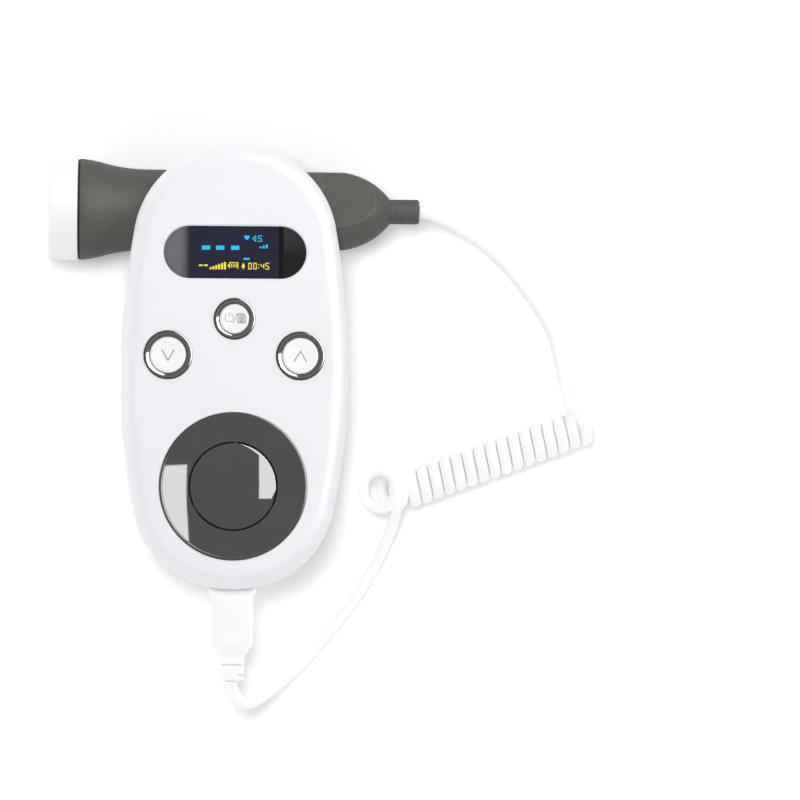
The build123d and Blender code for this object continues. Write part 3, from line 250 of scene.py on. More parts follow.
def noise(tree, scale, detail=3.0):
    """Noise on the piece's own coordinates."""
    coords = tree.nodes.new("ShaderNodeTexCoord")
    texture = tree.nodes.new("ShaderNodeTexNoise")
    texture.inputs["Scale"].default_value = scale
    texture.inputs["Detail"].default_value = detail
    tree.links.new(coords.outputs["Object"], texture.inputs["Vector"])
    return texture.outputs["Fac"]


def spread(tree, value, low, high, start=0.3, end=0.7):
    """Map a value to a range."""
    node = tree.nodes.new("ShaderNodeMapRange")
    node.inputs["From Min"].default_value = start
    node.inputs["From Max"].default_value = end
    node.inputs["To Min"].default_value = low
    node.inputs["To Max"].default_value = high
    tree.links.new(value, node.inputs["Value"])
    return node.outputs["Result"]


def across(tree, axis, start, end, low, high):
    """Value that runs smoothly from low to high between two places on an axis."""
    coords = tree.nodes.new("ShaderNodeTexCoord")
    parts = tree.nodes.new("ShaderNodeSeparateXYZ")
    tree.links.new(coords.outputs["Object"], parts.inputs[0])
    value = spread(tree, parts.outputs[axis], low, high, start, end)
    value.node.interpolation_type = "SMOOTHSTEP"
    return value


def two_colours(tree, value, low, high):
    """Ramp of a value between two stops, each a position and a colour."""
    ramp = tree.nodes.new("ShaderNodeValToRGB")
    for element, (position, colour) in zip(ramp.color_ramp.elements, (low, high)):
        element.position = position
        element.color = (*colour, 1)
    tree.links.new(value, ramp.inputs["Fac"])
    return ramp.outputs["Color"]


def tint(tree, value, dark, light):
    """Colour between two by a noise value."""
    return two_colours(tree, value, (0.3, dark), (0.7, light))


def seen_rays(tree):
    """1 for rays from the camera, from gloss and through glass, 0 for the others."""
    path = tree.nodes.new("ShaderNodeLightPath")
    total = path.outputs["Is Camera Ray"]
    for kind in ("Is Glossy Ray", "Is Transmission Ray"):
        either = tree.nodes.new("ShaderNodeMath")
        either.operation = "MAXIMUM"
        tree.links.new(total, either.inputs[0])
        tree.links.new(path.outputs[kind], either.inputs[1])
        total = either.outputs[0]
    return total


def grain(tree, surface, value, depth):
    """Fine relief from a noise value, depth in metres."""
    bump = tree.nodes.new("ShaderNodeBump")
    bump.inputs["Strength"].default_value = 1.0
    bump.inputs["Distance"].default_value = depth
    tree.links.new(value, bump.inputs["Height"])
    tree.links.new(bump.outputs["Normal"], surface.inputs["Normal"])


def moulded(name, colour, roughness, swing, mottle, mottle_scale, depth, grain_scale, added):
    """Moulded or coated surface: mottled colour, uneven gloss and a fine grain."""
    material, tree, surface = shader(name)
    broad = noise(tree, mottle_scale)
    fine = noise(tree, grain_scale, 2.0)
    dark = [c * (1 - mottle) for c in colour]
    light = [min(1.0, c * (1 + mottle)) for c in colour]
    tree.links.new(tint(tree, broad, dark, light), surface.inputs["Base Color"])
    tree.links.new(
        spread(tree, fine, roughness - swing, roughness + swing), surface.inputs["Roughness"]
    )
    grain(tree, surface, fine, depth)
    for socket, value in added.items():
        surface.inputs[socket].default_value = value
    return material


def handle_grey():
    """Soft-touch grey of the probe's handle: fine pale speckle, and a dark line at the head that is
    painted shade in the seam.
    """
    material, tree, surface = shader("probe_grey")
    colour = colours().probe
    dark = [c * 0.80 for c in colour]
    light = [c * 1.22 for c in colour]
    speckle = noise(tree, 1500, 2.0)
    broad = noise(tree, 160)
    both = tree.nodes.new("ShaderNodeMix")
    both.inputs["Factor"].default_value = 0.3
    tree.links.new(speckle, both.inputs["A"])
    tree.links.new(broad, both.inputs["B"])
    coat = tint(tree, both.outputs["Result"], dark, light)
    # painted shade: the colour falls to a dark line in the seam where the handle meets the head cap
    edge = across(tree, "X", (HANDLE_X + 0.30) * MM, (HANDLE_X + 0.55) * MM, 0.12, 1.0)
    shade = tree.nodes.new("ShaderNodeVectorMath")
    shade.operation = "SCALE"
    tree.links.new(coat, shade.inputs[0])
    tree.links.new(edge, shade.inputs["Scale"])
    tree.links.new(shade.outputs["Vector"], surface.inputs["Base Color"])
    tree.links.new(spread(tree, speckle, 0.5, 0.66), surface.inputs["Roughness"])
    surface.inputs["Specular IOR Level"].default_value = 0.12
    grain(tree, surface, speckle, 2.2e-5)
    return material


def smoked_glass():
    """Smoked clear plastic of the display window, with a painted reflection that makes it lighter
    grey towards its left end.
    """
    material, tree, surface = shader("window_smoke")
    surface.inputs["Base Color"].default_value = (0.40, 0.41, 0.44, 1)
    surface.inputs["IOR"].default_value = 1.49
    # painted reflection: less light passes towards the window's left end, so its grey shows there
    painted_reflection = across(tree, "X", -17.5 * MM, -12.5 * MM, 0.70, 1.0)
    tree.links.new(painted_reflection, surface.inputs["Transmission Weight"])
    uneven = noise(tree, 300)
    tree.links.new(spread(tree, uneven, 0.002, 0.008), surface.inputs["Roughness"])
    return material


def moulded_finishes():
    """Colour, roughness, swing, mottle, its scale, relief depth and grain scale by slot."""
    c = colours()
    return {
        "case_white": (c.case, 0.48, 0.04, 0.012, 18, 2e-6, 700),
        "head_white": (c.head, 0.5, 0.04, 0.012, 30, 2e-6, 700),
        "relief_rubber": ((0.092, 0.089, 0.083), 0.6, 0.08, 0.14, 900, 1e-5, 1800),
        "seal_rubber": ((0.012, 0.012, 0.012), 0.6, 0.08, 0.1, 500, 1e-5, 1800),
        "chrome": (c.bezel, 0.09, 0.03, 0.05, 300, 1e-6, 900),
        "key_white": ((0.93, 0.93, 0.93), 0.3, 0.04, 0.01, 60, 2e-6, 900),
        "speaker_grey": (c.speaker, 0.03, 0.008, 0.05, 60, 1e-7, 300),
        "panel_glass": ((0.030, 0.032, 0.062), 0.18, 0.03, 0.2, 60, 1e-6, 600),
        "inner_plastic": ((0.05, 0.05, 0.052), 0.5, 0.1, 0.12, 300, 8e-6, 1300),
        "ribbon_film": ((0.45, 0.2, 0.05), 0.3, 0.06, 0.08, 200, 2e-6, 900),
        "board_green": ((0.02, 0.13, 0.05), 0.35, 0.08, 0.25, 350, 6e-6, 1100),
        "chip_black": ((0.018, 0.018, 0.02), 0.55, 0.08, 0.12, 500, 8e-6, 2200),
        "foam": ((0.035, 0.035, 0.035), 0.9, 0.05, 0.3, 900, 1.2e-4, 1400),
        "pressed_steel": ((0.56, 0.56, 0.55), 0.3, 0.1, 0.08, 250, 3e-6, 1500),
        "cone_paper": ((0.03, 0.03, 0.03), 0.85, 0.08, 0.25, 600, 5e-5, 900),
        "magnet_ferrite": ((0.07, 0.07, 0.075), 0.6, 0.1, 0.15, 400, 2e-5, 900),
        "cell_jacket": ((0.10, 0.11, 0.13), 0.3, 0.08, 0.08, 120, 3e-6, 800),
        "crystal_ceramic": ((0.72, 0.66, 0.5), 0.6, 0.08, 0.08, 500, 1e-5, 1200),
        "backing_epoxy": ((0.22, 0.17, 0.1), 0.45, 0.1, 0.2, 400, 2e-5, 900),
        "plug_white": (c.plug, 0.55, 0.05, 0.012, 80, 4e-6, 1000),
        "cord_white": (c.cord, 0.6, 0.05, 0.012, 60, 5e-6, 1200),
        "sign_ink": (c.ink, 0.45, 0.06, 0.08, 900, 1e-6, 2500),
    }


# Shader values that some of the moulded finishes add
ADDED_VALUES = {
    "case_white": {"Specular IOR Level": 0.4, "Sheen Weight": 0.2, "Sheen Roughness": 0.5},
    "relief_rubber": {"Specular IOR Level": 0.15},
    "chrome": {"Metallic": 1.0},
    # panel_glass glows a faint navy: painted light that stands in for the light not reaching the
    # panel under the window
    "panel_glass": {"Emission Color": (0.026, 0.029, 0.066, 1), "Emission Strength": 1.0},
    "pressed_steel": {"Metallic": 1.0},
    "plug_white": {"Specular IOR Level": 0.4},
    "cord_white": {"Specular IOR Level": 0.35},
}


def finish(slot):
    """Material of one slot, made once."""
    found = bpy.data.materials.get("finish_" + slot)
    if found:
        return found
    if slot == "probe_grey":
        return handle_grey()
    if slot == "window_smoke":
        return smoked_glass()
    if slot == "lit_cyan":
        return lit(slot, colours().lit_cyan, 2.1)
    if slot == "lit_yellow":
        return lit(slot, colours().lit_yellow, 2.1)
    return moulded(slot, *moulded_finishes()[slot], ADDED_VALUES.get(slot, {}))


def lit(name, colour, strength):
    """Lit display dots: a grid of small bright squares with dark lines between."""
    material, tree, surface = shader(name)
    coords = tree.nodes.new("ShaderNodeTexCoord")
    grid = tree.nodes.new("ShaderNodeTexBrick")
    grid.offset = 0.0
    grid.squash = 1.0
    grid.inputs["Color1"].default_value = (*colour, 1)
    grid.inputs["Color2"].default_value = (*[c * 0.9 for c in colour], 1)
    grid.inputs["Mortar"].default_value = (*[c * 0.5 for c in colour], 1)
    grid.inputs["Scale"].default_value = 1.0
    grid.inputs["Mortar Size"].default_value = 0.012 * MM
    grid.inputs["Brick Width"].default_value = 0.17 * MM
    grid.inputs["Row Height"].default_value = 0.17 * MM
    tree.links.new(coords.outputs["Object"], grid.inputs["Vector"])
    tree.links.new(grid.outputs["Color"], surface.inputs["Emission Color"])
    surface.inputs["Emission Strength"].default_value = strength
    surface.inputs["Base Color"].default_value = (0.02, 0.02, 0.02, 1)
    return material


# ---- Shaping helpers ------------------------------------------------------


def mm(*values):
    return Vector(values) * MM


def activate(obj):
    """Select one object and nothing else."""
    bpy.ops.object.select_all(action="DESELECT")
    obj.select_set(True)
    bpy.context.view_layer.objects.active = obj


def deselect_all():
    bpy.ops.object.select_all(action="DESELECT")


def paint(obj, slot, finish_slot=None):
    """Give a piece its slot and its finish, the slot's own unless another is named."""
    obj.data.materials.clear()
    obj.data.materials.append(finish(finish_slot or slot))


def settle(obj, name, body, slot, replaces=(), finish_slot=None):
    """Name a finished piece, paint it, and let it ride on its body."""
    obj.name = name
    obj.data.name = name
    paint(obj, slot, finish_slot)
    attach(obj, body)
    if replaces:
        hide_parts(*replaces)


def skin(node, name, body, slot, finish_slot=None):
    """Clean smooth-shaded copy of a CAD node."""
    mesh = frame["nodes"][node].data.copy()
    piece = bpy.data.objects.new(name, mesh)
    bpy.context.scene.collection.objects.link(piece)
    activate(piece)
    bpy.ops.mesh.customdata_custom_splitnormals_clear()
    bpy.ops.object.mode_set(mode="EDIT")
    bpy.ops.mesh.select_all(action="SELECT")
    bpy.ops.mesh.remove_doubles(threshold=0.002 * MM)
    bpy.ops.mesh.dissolve_limited(angle_limit=radians(FLAT_ANGLE))
    bpy.ops.object.mode_set(mode="OBJECT")
    bpy.ops.object.shade_smooth_by_angle(angle=radians(SMOOTH_ANGLE))
    weighted = piece.modifiers.new("weighted", "WEIGHTED_NORMAL")
    weighted.keep_sharp = True
    weighted.weight = 50
    bpy.ops.object.modifier_apply(modifier=weighted.name)
    settle(piece, name, body, slot, (node,), finish_slot)


def turned(profile, centre, steps=128, angle=40):
    """Turned piece: one point drawn out along (radius, height) points and spun."""
    centre = mm(*centre)
    deselect_all()
    bpy.ops.mesh.primitive_plane_add(size=MM, location=(0, 0, 0))
    piece = bpy.context.object
    bpy.ops.object.mode_set(mode="EDIT")
    bpy.ops.mesh.merge(type="CENTER")
    places = [centre + mm(radius, 0, height) for radius, height in profile]
    bpy.ops.transform.translate(value=places[0])
    for at, to in zip(places, places[1:]):
        bpy.ops.mesh.extrude_region_move(TRANSFORM_OT_translate={"value": to - at})
    bpy.ops.mesh.select_all(action="SELECT")
    bpy.ops.mesh.spin(steps=steps, angle=2 * pi, center=centre, axis=(0, 0, 1))
    bpy.ops.mesh.select_all(action="SELECT")
    bpy.ops.mesh.remove_doubles(threshold=0.001 * MM)
    bpy.ops.mesh.normals_make_consistent(inside=False)
    bpy.ops.object.mode_set(mode="OBJECT")
    bpy.ops.object.shade_smooth_by_angle(angle=radians(angle))
    return piece


def arc(start, middle, end, steps):
    """Points of the arc through three, the first left out."""
    (ax, ay), (bx, by), (cx, cy) = start, middle, end
    d = 2 * (ax * (by - cy) + bx * (cy - ay) + cx * (ay - by))
    aa, bb, cc = ax * ax + ay * ay, bx * bx + by * by, cx * cx + cy * cy
    ux = (aa * (by - cy) + bb * (cy - ay) + cc * (ay - by)) / d
    uy = (aa * (cx - bx) + bb * (ax - cx) + cc * (bx - ax)) / d
    centre = Vector((ux, uy))
    first = Vector(start) - centre
    last = Vector(end) - centre
    turn = first.angle_signed(last)
    points = []
    for step in range(1, steps + 1):
        part = -turn * step / steps
        c, s = cos(part), sin(part)
        points.append(
            (centre.x + first.x * c - first.y * s, centre.y + first.x * s + first.y * c)
        )
    return points


# ---- Cord -----------------------------------------------------------------


def coil_points():
    """Control points of the coil, left-handed, its far end raised to face the front."""
    s = sizes()
    along = (COIL_END - COIL_START).normalized()
    up = Vector((0, 0, 1))
    side = along.cross(up)
    rise = up * cos(COIL_BEND_LEAN) + side * sin(COIL_BEND_LEAN)
    straight = (COIL_END - COIL_START).length
    before = s.coil_turns * s.points_per_turn
    total = before + s.bend_turns * s.points_per_turn
    widen = 1 / cos(pi / s.points_per_turn)
    points = []
    for n in range(round(total) + 1):
        part = n / before
        reach = min(straight, COIL_FIRST_REACH + (straight - COIL_FIRST_REACH) * part)
        lean = max(0.0, n - before) / (total - before) * COIL_BEND_ANGLE
        centre = COIL_START + along * reach
        centre += (along * sin(lean) + rise * (1 - cos(lean))) * COIL_BEND_R
        over = rise * cos(lean) - along * sin(lean)
        beside = (along * cos(lean) + rise * sin(lean)).cross(over)
        turn = COIL_FIRST_TURN - COIL_BEND_LEAN - 2 * pi * n / s.points_per_turn
        swell = (n - total) / s.points_per_turn + RING_SWELL_TURNS
        swell = min(1.0, max(0.0, swell))
        radius = s.coil_radius_start + (s.coil_radius_end - s.coil_radius_start) * n / total
        radius += (s.last_ring_radius - radius) * swell
        points.append(centre + (over * cos(turn) + beside * sin(turn)) * radius * widen / MM)
    return points


def cord_line():
    """Centre line of the whole cord, as points read from its smooth route."""
    points = [Vector(p) for p in PROBE_LEAD] + coil_points()
    points += [Vector(p) for p in reversed(PLUG_LEAD)]
    curve = bpy.data.curves.new("cord_route", "CURVE")
    curve.dimensions = "3D"
    curve.resolution_u = 5
    spline = curve.splines.new("NURBS")
    spline.points.add(len(points) - 1)
    for point, place in zip(spline.points, points):
        point.co = (*(place * MM), 1)
    spline.order_u = 3
    spline.use_endpoint_u = True
    route = bpy.data.objects.new("cord_route", curve)
    bpy.context.scene.collection.objects.link(route)
    bpy.context.view_layer.update()
    mesh = bpy.data.meshes.new_from_object(route)
    line = [vertex.co.copy() for vertex in mesh.vertices]
    bpy.data.meshes.remove(mesh)
    bpy.data.objects.remove(route)
    bpy.data.curves.remove(curve)
    return line


def frames_along(line):
    """Point and two directions across, for every point of a line, without twist."""
    count = len(line)
    side = None
    frames = []
    for n, point in enumerate(line):
        forward = (line[min(n + 1, count - 1)] - line[max(n - 1, 0)]).normalized()
        if side is None:
            side = forward.orthogonal()
        side = (side - forward * side.dot(forward)).normalized()
        frames.append((point, side.copy(), forward.cross(side)))
    return frames


def tube(name, frames, radius, sides=24):
    """Round tube through frames, closed at both ends."""
    verts = []
    for point, side, over in frames:
        for k in range(sides):
            turn = 2 * pi * k / sides
            verts.append(point + (side * cos(turn) + over * sin(turn)) * radius)
    faces = []
    for n in range(len(frames) - 1):
        for k in range(sides):
            a = n * sides + k
            b = n * sides + (k + 1) % sides
            faces.append((a, b, b + sides, a + sides))
    faces.append(tuple(reversed(range(sides))))
    faces.append(tuple(range(len(verts) - sides, len(verts))))
    mesh = bpy.data.meshes.new(name)
    mesh.from_pydata([tuple(v) for v in verts], [], faces)
    piece = bpy.data.objects.new(name, mesh)
    bpy.context.scene.collection.objects.link(piece)
    activate(piece)
    bpy.ops.object.shade_smooth_by_angle(angle=radians(50))
    return piece


class DOPPLER_OT_cord(bpy.types.Operator):
    """Model the probe's lead, the coil and the plug's lead"""

    bl_idname = "doppler.cord"
    bl_label = "Cord"

    def execute(self, context):
        s = sizes()
        line = cord_line()
        turns = coil_points()
        starts = turns[0] * MM
        ends = turns[-1] * MM
        cut_in = min(range(len(line)), key=lambda n: (line[n] - starts).length)
        cut_out = min(range(len(line)), key=lambda n: (line[n] - ends).length)
        radius = s.cord_diameter / 2
        frames = frames_along(line)
        cuts = {
            "cord_lead_probe": (0, cut_in + 1),
            "cord_coil": (cut_in, cut_out + 1),
            "cord_lead_plug": (cut_out, len(line)),
        }
        pieces = {}
        for name, (start, end) in cuts.items():
            piece = tube(name + "_skin", frames[start:end], radius)
            paint(piece, "cord_white")
            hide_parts(name)
            pieces[name] = piece
        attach(pieces["cord_coil"], "main_unit")
        start, end = [mm(*place) for place in PROBE_LEAD_BLEND]
        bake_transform(pieces["cord_lead_probe"])
        start, end = [mm(*place) for place in PLUG_LEAD_BLEND]
        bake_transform(pieces["cord_lead_plug"])
        return {"FINISHED"}


# ---- Stage ----------------------------------------------------------------


def area_light(name, corner, far_corner, height, radiance, glossy):
    """Rectangular lamp facing down, seen by reflections only or by matt surfaces only."""
    width = far_corner[0] - corner[0]
    depth = far_corner[1] - corner[1]
    light = bpy.data.lights.new(name, "AREA")
    light.shape = "RECTANGLE"
    light.size = width
    light.size_y = depth
    light.energy = radiance * pi * width * depth
    lamp = bpy.data.objects.new(name, light)
    bpy.context.scene.collection.objects.link(lamp)
    lamp.location = (corner[0] + width / 2, corner[1] + depth / 2, height)
    lamp.visible_camera = False
    lamp.visible_transmission = False
    lamp.visible_diffuse = not glossy
    lamp.visible_glossy = glossy


def grey(level):
    return (level, level, level)


def room():
    """White surroundings that darken overhead, in reflections and as a fill."""
    world = bpy.data.worlds.new("room")
    bpy.context.scene.world = world
    world.use_nodes = True
    tree = world.node_tree
    tree.nodes.clear()
    output = tree.nodes.new("ShaderNodeOutputWorld")
    mix = tree.nodes.new("ShaderNodeMixShader")
    coords = tree.nodes.new("ShaderNodeTexCoord")
    parts = tree.nodes.new("ShaderNodeSeparateXYZ")
    tree.links.new(coords.outputs["Generated"], parts.inputs[0])
    for socket, stops in ((mix.inputs[1], ROOM_FILL), (mix.inputs[2], ROOM_SEEN)):
        low, high = [(position, grey(level)) for position, level in stops]
        light = tree.nodes.new("ShaderNodeBackground")
        shade = two_colours(tree, parts.outputs["Z"], low, high)
        tree.links.new(shade, light.inputs["Color"])
        tree.links.new(light.outputs["Background"], socket)
    tree.links.new(seen_rays(tree), mix.inputs["Fac"])
    tree.links.new(mix.outputs["Shader"], output.inputs["Surface"])


def floor_material():
    """Matt white floor that keeps the object's shadow."""
    material = bpy.data.materials.new("floor")
    material.use_nodes = True
    tree = material.node_tree
    tree.nodes.clear()
    output = tree.nodes.new("ShaderNodeOutputMaterial")
    matt = tree.nodes.new("ShaderNodeBsdfDiffuse")
    white = tree.nodes.new("ShaderNodeMix")
    white.data_type = "RGBA"
    white.inputs["A"].default_value = (*grey(FLOOR_BOUNCE), 1)
    white.inputs["B"].default_value = (*grey(FLOOR_SEEN), 1)
    tree.links.new(seen_rays(tree), white.inputs["Factor"])
    tree.links.new(white.outputs["Result"], matt.inputs["Color"])
    tree.links.new(matt.outputs["BSDF"], output.inputs["Surface"])
    return material


class DOPPLER_OT_stage(bpy.types.Operator):
    """Set up the camera, the lights and the floor"""

    bl_idname = "doppler.stage"
    bl_label = "Stage"

    def execute(self, context):
        scene = context.scene
        scene.view_settings.view_transform = "Standard"
        camera = bpy.data.cameras.new("camera")
        camera.sensor_width = 36.0
        camera.lens = CAMERA_LENS
        camera.clip_end = 100
        viewer = bpy.data.objects.new("camera", camera)
        scene.collection.objects.link(viewer)
        viewer.location = mm(*CAMERA_PLACE)
        viewer.rotation_euler = (0, 0, CAMERA_ROLL)
        scene.camera = viewer
        room()
        area_light("key", *KEY_LIGHT, glossy=False)
        area_light("softbox", *SOFTBOX, glossy=True)
        deselect_all()
        bpy.ops.mesh.primitive_plane_add(size=8, location=(0, 0, 0))
        floor = context.object
        floor.name = "floor"
        floor.data.materials.append(floor_material())
        return {"FINISHED"}


# ---- Pieces ---------------------------------------------------------------


class DOPPLER_OT_case(bpy.types.Operator):
    """Finish the front case, the rear case and the battery door"""

    bl_idname = "doppler.case"
    bl_label = "Case"

    def execute(self, context):
        skin("front_case", "front_case_skin", "main_unit", "case_white")
        skin("rear_case", "rear_case_skin", "main_unit", "case_white")
        skin("battery_door", "battery_door_skin", "battery_door", "case_white")
        return {"FINISHED"}


class DOPPLER_OT_bezels(bpy.types.Operator):
    """Turn the three bright bezels"""

    bl_idname = "doppler.bezels"
    bl_label = "Bezels"

    def execute(self, context):
        for name, (x, y, ring_r, cap_r) in BUTTONS.items():
            inner = cap_r + 0.15
            crest = FRONT_Z + 0.35
            outer = ring_r - 0.5
            foot = inner + 0.12
            drop = crest - 0.6
            middle = ((outer + foot) / 2, crest - 0.36)
            profile = [(ring_r, FRONT_Z - 2.0), (ring_r, crest - 0.2)]
            profile += [(ring_r - 0.08, crest - 0.06), (ring_r - 0.22, crest)]
            profile += [(outer, crest - 0.01)]
            profile += arc((outer, crest - 0.01), middle, (foot, drop), 10)
            profile += [(inner, drop - 0.14), (inner, FRONT_Z - 3.0), (ring_r + 0.7, FRONT_Z - 3.0)]
            profile += [(ring_r + 0.7, FRONT_Z - 2.0), (ring_r, FRONT_Z - 2.0)]
            piece = turned(profile, (x, y, 0), steps=160, angle=32)
            settle(piece, f"bezel_{name}_ring", "main_unit", "chrome", (f"bezel_{name}",))
        return {"FINISHED"}


def cap_surface(cap_r, radius):
    """Height of a cap's dished face at a radius, in millimetres."""
    return CAP_Z - CAP_DISH * max(0.0, 1 - (radius / (cap_r - CAP_ROUND)) ** 2)


def outlines(name, shapes, width=0.0, closed=False):
    """Flat signs from lists of points in millimetres: strokes, or filled shapes."""
    curve = bpy.data.curves.new(name, "CURVE")
    curve.dimensions = "2D" if closed else "3D"
    if closed:
        curve.fill_mode = "BOTH"
        curve.extrude = FILM_THICKNESS * MM / 2
    else:
        curve.bevel_depth = width * MM / 2
        curve.bevel_resolution = 3
        curve.use_fill_caps = True
    for shape in shapes:
        spline = curve.splines.new("POLY")
        spline.points.add(len(shape) - 1)
        for point, place in zip(spline.points, shape):
            point.co = (*mm(*place), 1) if len(place) == 3 else (*mm(*place, 0), 1)
        spline.use_cyclic_u = closed
    sign = bpy.data.objects.new(name, curve)
    bpy.context.scene.collection.objects.link(sign)
    activate(sign)
    bpy.ops.object.convert(target="MESH")
    return bpy.context.object


def along_lines(corners, step=0.35):
    """Corner points joined by straight runs of close points."""
    points = [corners[0]]
    for a, b in zip(corners, corners[1:]):
        count = max(1, round(hypot(b[0] - a[0], b[1] - a[1]) / step))
        for n in range(1, count + 1):
            points.append((a[0] + (b[0] - a[0]) * n / count, a[1] + (b[1] - a[1]) * n / count))
    return points


def round_part(centre, radius, start, end, steps=28):
    """Points of part of a circle, from one angle to another in degrees."""
    angles = [radians(start + (end - start) * n / steps) for n in range(steps + 1)]
    return [(centre[0] + radius * cos(a), centre[1] + radius * sin(a)) for a in angles]


class DOPPLER_OT_buttons(bpy.types.Operator):
    """Turn the three button caps and lay their signs on them"""

    bl_idname = "doppler.buttons"
    bl_label = "Buttons"

    def execute(self, context):
        for name, (x, y, _, cap_r) in BUTTONS.items():
            flange_r = cap_r + 0.8
            flange_top = PLUNGER_TOP + 1.4
            profile = [(0, PLUNGER_TOP), (flange_r, PLUNGER_TOP)]
            profile += [(flange_r, flange_top), (cap_r, flange_top)]
            profile += [(cap_r, CAP_Z - CAP_ROUND)]
            half = CAP_ROUND * (1 - sqrt(0.5))
            round_mid = (cap_r - half, CAP_Z - half)
            flat = cap_r - CAP_ROUND
            profile += arc((cap_r, CAP_Z - CAP_ROUND), round_mid, (flat, CAP_Z), 6)
            for n in range(1, 9):
                radius = flat * (1 - n / 8)
                profile.append((radius, cap_surface(cap_r, radius)))
            piece = turned(profile, (x, y, 0), steps=96, angle=35)
            settle(piece, f"cap_{name}", f"{name}_button", "key_white", (f"button_{name}",))
        self.sign("down", 0.37, [[(-1.9, 1.65), (0, -1.75), (1.9, 1.65)]])
        self.sign("up", 0.37, [[(-1.95, -1.8), (0.1, 1.5), (1.95, -1.85)]])
        ring = round_part((-1.65, 0.35), 1.29, 125, 415)
        bar = [(-1.65, 0.55), (-1.65, 2.0)]
        slash = [(-0.43, -1.26), (0.8, 1.69)]
        page = [(1.0, -1.2), (1.0, 1.56), (2.7, 1.56), (3.4, 0.86), (3.4, -1.2), (1.0, -1.2)]
        lines = [[(1.4, level), (3.0, level)] for level in (1.02, 0.56, 0.1, -0.36, -0.82)]
        self.sign("power", 0.2, [ring, bar, slash])
        self.sign("power", 0.3, [page, *lines], "page")
        return {"FINISHED"}

    def sign(self, name, width, strokes, mark="sign"):
        """Lay strokes on a cap's face, flattened to a printed film."""
        x, y, _, cap_r = BUTTONS[name]
        shapes = []
        for stroke in strokes:
            shapes.append([(x + u, y + v, 0) for u, v in along_lines(stroke)])
        piece = outlines(f"{mark}_{name}", shapes, width)
        for vertex in piece.data.vertices:
            u, v = vertex.co.x / MM - x, vertex.co.y / MM - y
            film = cap_surface(cap_r, hypot(u, v)) + 0.01
            vertex.co.z = vertex.co.z * 0.12 + film * MM
        body = f"{name}_button"
        settle(piece, f"{mark}_{name}", body, "key_white", finish_slot="sign_ink")


class DOPPLER_OT_speaker(bpy.types.Operator):
    """Turn the speaker's dished ring and domed disc"""

    bl_idname = "doppler.speaker"
    bl_label = "Speaker"

    def execute(self, context):
        lip, foot = 21.85, 13.75
        profile = [(foot, 32.0), (20.6, 32.0), (20.6, 32.8), (22.65, 32.8), (22.65, 36.1)]
        profile += [(22.60, 36.2), (22.48, 36.25), (lip + 0.1, 36.25), (lip, 36.2)]
        start = (lip - 0.15, 36.0)
        profile += [start, *arc(start, (17.7, 35.40), (foot, 34.94), 28), (foot - 0.06, 34.82)]
        profile += [(foot - 0.06, 32.0), (foot, 32.0)]
        ring = turned(profile, (0, SPEAKER_Y, 0), steps=256, angle=32)
        hub = [(1.65, 30.0), (3.4, 30.0), (3.4, 32.8), (1.65, 32.8), (1.65, 30.0)]
        parts = [ring, turned(hub, (0, SPEAKER_Y, 0), steps=64, angle=35)]
        for turn in (90, 210, 330):
            deselect_all()
            bpy.ops.mesh.primitive_cube_add(size=MM, location=(0, 0, 0))
            spoke = context.object
            bpy.ops.object.mode_set(mode="EDIT")
            bpy.ops.transform.resize(value=(12.0, 2.2, 1.4))
            bpy.ops.mesh.bevel(offset=0.2 * MM, segments=3)
            bpy.ops.transform.translate(value=mm(8.2, 0, 31.9))
            bpy.ops.object.mode_set(mode="OBJECT")
            spoke.data.transform(Matrix.Rotation(radians(turn), 4, "Z"))
            spoke.data.transform(Matrix.Translation(mm(0, SPEAKER_Y, 0)))
            bpy.ops.object.shade_smooth_by_angle(angle=radians(35))
            parts.append(spoke)
        deselect_all()
        for part in parts:
            part.select_set(True)
        context.view_layer.objects.active = ring
        bpy.ops.object.join()
        settle(ring, "speaker_dish", "main_unit", "speaker_grey", ("speaker_ring",))

        radius, low, edge, crown = 13.2, 33.4, 34.9, 0.98
        rim = radius - 0.25
        dome_r = (rim**2 + crown**2) / (2 * crown)
        profile = [(0, 30.0), (1.6, 30.0), (1.6, 32.8), (3.0, 32.8), (3.0, low), (radius, low)]
        profile += [(radius, edge - 0.25), (radius - 0.06, edge - 0.1), (rim, edge)]
        for n in range(1, 25):
            r = rim * (1 - n / 24)
            profile.append((r, edge + crown - dome_r + sqrt(dome_r**2 - r**2)))
        disc = turned(profile, (0, SPEAKER_Y, 0), steps=256, angle=32)
        settle(disc, "speaker_dome", "main_unit", "speaker_grey", ("speaker_disc",))
        return {"FINISHED"}


def box_shape(x, y, width, height):
    """Corners of an upright rectangle from its lower left corner."""
    return [(x, y), (x + width, y), (x + width, y + height), (x, y + height)]


def digit_shapes(number, x, y, width, height, bar):
    """Lit bars of a seven-bar digit: 0, 4 or 5."""
    lit_bars = {"0": "abcdef", "4": "fgbc", "5": "afgcd"}
    half = height / 2
    bars = {
        "a": (x, y + height - bar, width, bar),
        "b": (x + width - bar, y + half, bar, half - bar * 1.2),
        "c": (x + width - bar, y + bar * 1.2, bar, half - bar * 1.4),
        "d": (x, y, width, bar),
        "e": (x, y + bar * 1.2, bar, half - bar * 1.4),
        "f": (x, y + half, bar, half - bar * 1.2),
        "g": (x + bar * 1.1, y + half - bar / 2, width - bar * 2.2, bar),
    }
    return [box_shape(*bars[key]) for key in lit_bars[number]]


